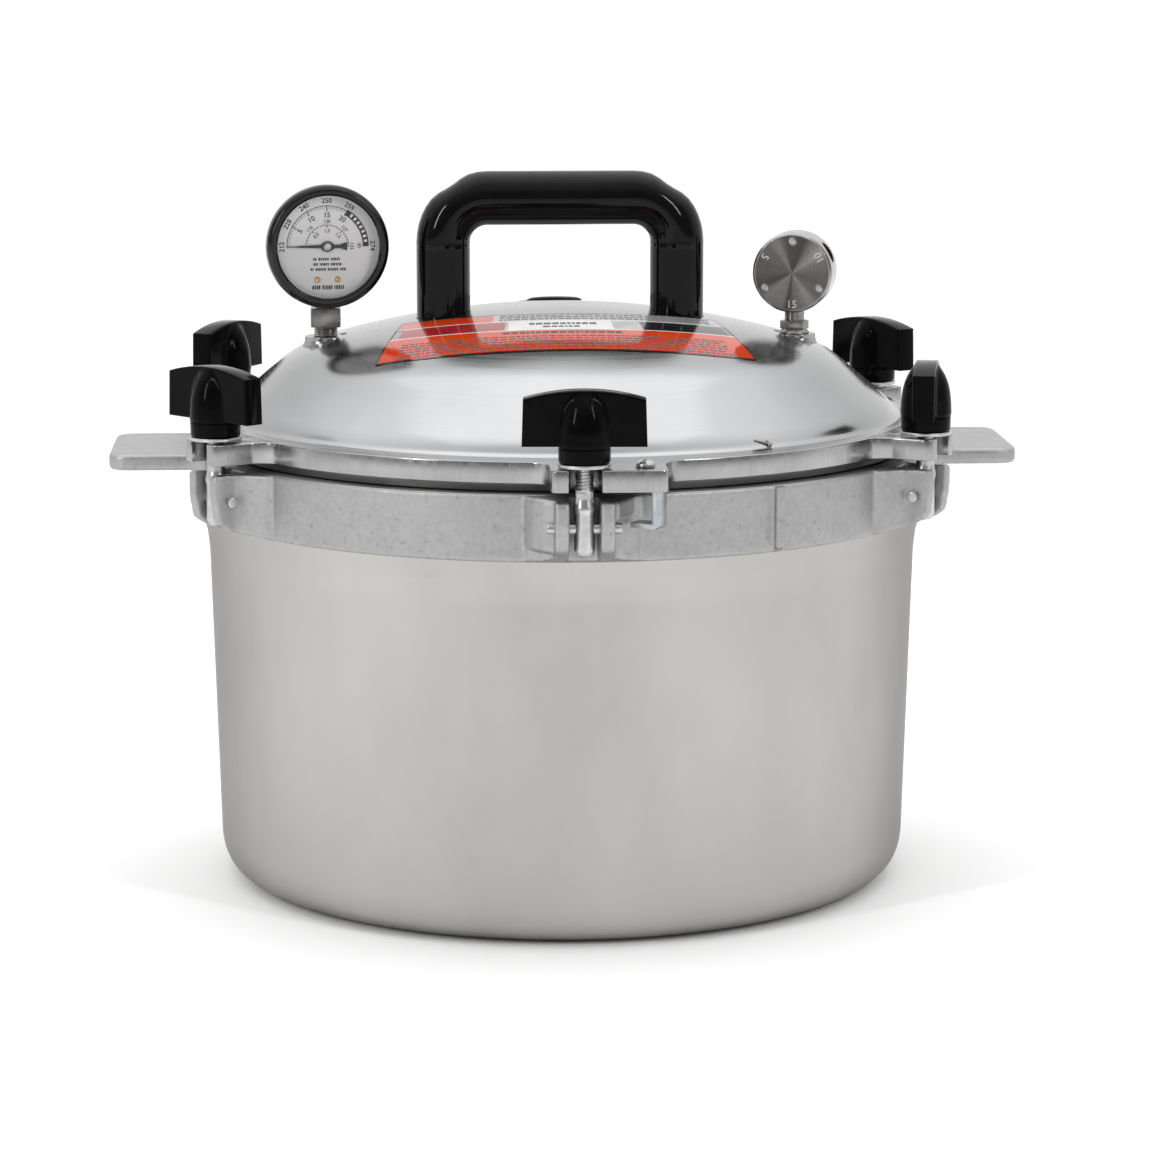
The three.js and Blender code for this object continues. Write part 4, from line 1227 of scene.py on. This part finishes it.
small_print = [
    (-0.9, 0.9, 0.04, 0.36, 6, 1), (-0.35, 0.35, 0.37, 0.48, 1, 40), (-0.2, 0.2, 0.6, 0.72, 1, 60),
    (-0.12, 0.14, 0.53, 0.62, 1, 70), (-0.38, 0.95, 0.78, 0.97, 3, 80),
]
piece("label_small_print", union([greeked(*block) for block in small_print]), "lid", "greek", "label")

pin, bolt, insert, wing = hinge_pin(), clamp_bolt(), nut_insert(), wing_nut()
for number, (angle, wing_turn) in enumerate(zip(LUG_ANGLES, WING_TURN), start=1):
    out = turn(angle) @ shift(PIVOT_R, 0, 0)
    own = shift(*out.translation) @ turn(wing_turn)
    piece(f"pin_{number}", pin.moved(out @ shift(0, 0, PIVOT_Z)), "pot", "steel", "bolt_steel",
          f"hinge_pin_{number}")
    piece(f"bolt_{number}", bolt.moved(out), f"clamp_{number}", "steel", "bolt_steel", f"clamp_bolt_{number}")
    piece(f"insert_{number}", insert.moved(out), f"nut_{number}", "steel", "insert_steel",
          f"nut_insert_{number}")
    piece(f"wing_{number}", wing.moved(own), f"wing_{number}", "phenolic", "phenolic", f"wing_nut_{number}",
          crease=50)

piece("bail_handle", handle(), "lid", "handle", "phenolic", "top_handle", crease=60)
piece("lid_hook", hook(), "lid", "zinc", "zinc_plate", "hold_down_hook")
piece("lug_screw", hook_screw(), "lid", "steel", "bolt_steel", "hook_screw")

place = shift(*GAUGE_AT) @ turn(GAUGE_TURN)
piece("bezel_ring", gauge_bezel().moved(place), "lid", "bezel", "gauge_black", "gauge_bezel")
piece("case_cup", gauge_cup().moved(place), "lid", "cup", "gauge_steel", "gauge_case")
piece("lens", glass_disc().moved(place), "lid", "glass", "gauge_glass", "gauge_glass")
piece("dial_plate", dial_face().moved(place), "lid", "dial", "dial_white", "gauge_dial")
dark_band = dial_arc(16.2, 19.0, 60, 0, 0.06)
piece("dial_print", union([dial_print(), dark_band]).moved(place), "lid", "ink", "dial_white")
piece("dial_blocks", scale_blocks().moved(place), "lid", "dial", "dial_white")
piece("pointer_hand", pointer_blade().moved(place), "pointer", "ink", "pointer_black", "gauge_pointer")
piece("pointer_hub", pointer_cap().moved(place), "pointer", "cup", "pointer_black")
for name, x in (("left", -4.6), ("right", 4.6)):
    piece(f"dial_fixing_{name}", dial_screw(x).moved(place), "lid", "brass", "brass", f"dial_screw_{name}")
piece("gauge_stem", gauge_socket().moved(shift(*GAUGE_AT)), "lid", "fitting", "fitting_steel", "gauge_socket")

piece("vent_fitting", vent_pipe(), "lid", "fitting", "fitting_steel", "vent_pipe")
place = shift(*WEIGHT_AT) @ turn(WEIGHT_TURN)
piece("weight_disc", weight_disc().moved(place), "weight", "rim", "weight_steel", "regulator_weight")
piece("weight_face", weight_face().moved(place), "weight", "weight", "weight_steel")
pins = union([weight_pin(a, 1.7, -WEIGHT_HALF - 0.35, -WEIGHT_HALF + 1.2) for a in WEIGHT_PIN_ANGLES])
piece("weight_pins", pins.moved(place), "weight", "steel", "weight_steel")
piece("weight_digits", weight_digits().moved(place), "weight", "digits", "weight_steel")
piece("plug_cap", plug(), "plug", "rubber", "plug_rubber", "overpressure_plug")

for node, look in (
    ("pointer_arbor", "brass"), ("sector_gear", "brass"), ("movement_plate", "brass"),
    ("bourdon_tube", "brass"), ("handle_screw_left", "steel"), ("handle_screw_right", "steel"),
):
    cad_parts[node].data.materials.clear()
    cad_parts[node].data.materials.append(LOOKS[look])

# ---- studio


def add_floor():
    form = Form([(x, y, FLOOR_Z) for x, y in rectangle(FLOOR_HALF, FLOOR_HALF)], [[0, 1, 2, 3]])
    mesh = as_mesh("studio_floor", form)
    mesh.materials.append(LOOKS["floor"])
    add_object("studio_floor", mesh)


def add_softbox(name, place_at, target, size, energy):
    """A soft area light that looks at a point."""
    data = bpy.data.lights.new(name, "AREA")
    data.shape = "RECTANGLE"
    data.size, data.size_y = size
    data.energy = energy
    obj = add_object(name, data)
    obj.location = place_at
    obj.rotation_mode = "QUATERNION"
    obj.rotation_quaternion = (Vector(target) - Vector(place_at)).to_track_quat("-Z", "Y")


def add_sky():
    """A pale room: white behind the object, brighter overhead and dark behind the viewer."""
    world = bpy.data.worlds.new("studio")
    bpy.context.scene.world = world
    world.use_nodes = True
    nodes, links = world.node_tree.nodes, world.node_tree.links
    direction = nodes.new("ShaderNodeTexCoord")
    parts = nodes.new("ShaderNodeSeparateXYZ")
    links.new(direction.outputs["Generated"], parts.inputs["Vector"])
    total = nodes.new("ShaderNodeMath")
    for number, (axis, start, end, low_value, high_value) in enumerate(SKY):
        ramp = new_node(nodes, "ShaderNodeMapRange", From_Min=start, From_Max=end, To_Min=low_value,
                        To_Max=high_value)
        ramp.interpolation_type = "SMOOTHSTEP"
        links.new(parts.outputs[axis], ramp.inputs["Value"])
        links.new(ramp.outputs["Result"], total.inputs[number])
    links.new(total.outputs["Value"], nodes["Background"].inputs["Strength"])
    nodes["Background"].inputs["Color"].default_value = (1.0, 1.0, 1.0, 1)


def add_camera():
    data = bpy.data.cameras.new("camera")
    data.lens = CAMERA_LENS
    data.sensor_width = 36
    data.clip_end = 100
    obj = add_object("camera", data)
    obj.location = CAMERA_AT
    obj.rotation_euler = [radians(a) for a in CAMERA_TURN]
    bpy.context.scene.camera = obj


add_floor()
add_softbox("left_box", (-1.4, -1.2, 1.0), (0, 0, 0.2), (0.12, 0.9), 9)
add_softbox("right_box", (1.3, -1.4, 1.3), (0, 0, 0.2), (0.12, 0.9), 9)
add_softbox("top_box", (0, 0.2, 1.8), (0, 0, 0.1), (1.6, 1.6), 3)
add_sky()
add_camera()
bpy.context.scene.view_settings.view_transform = "Standard"
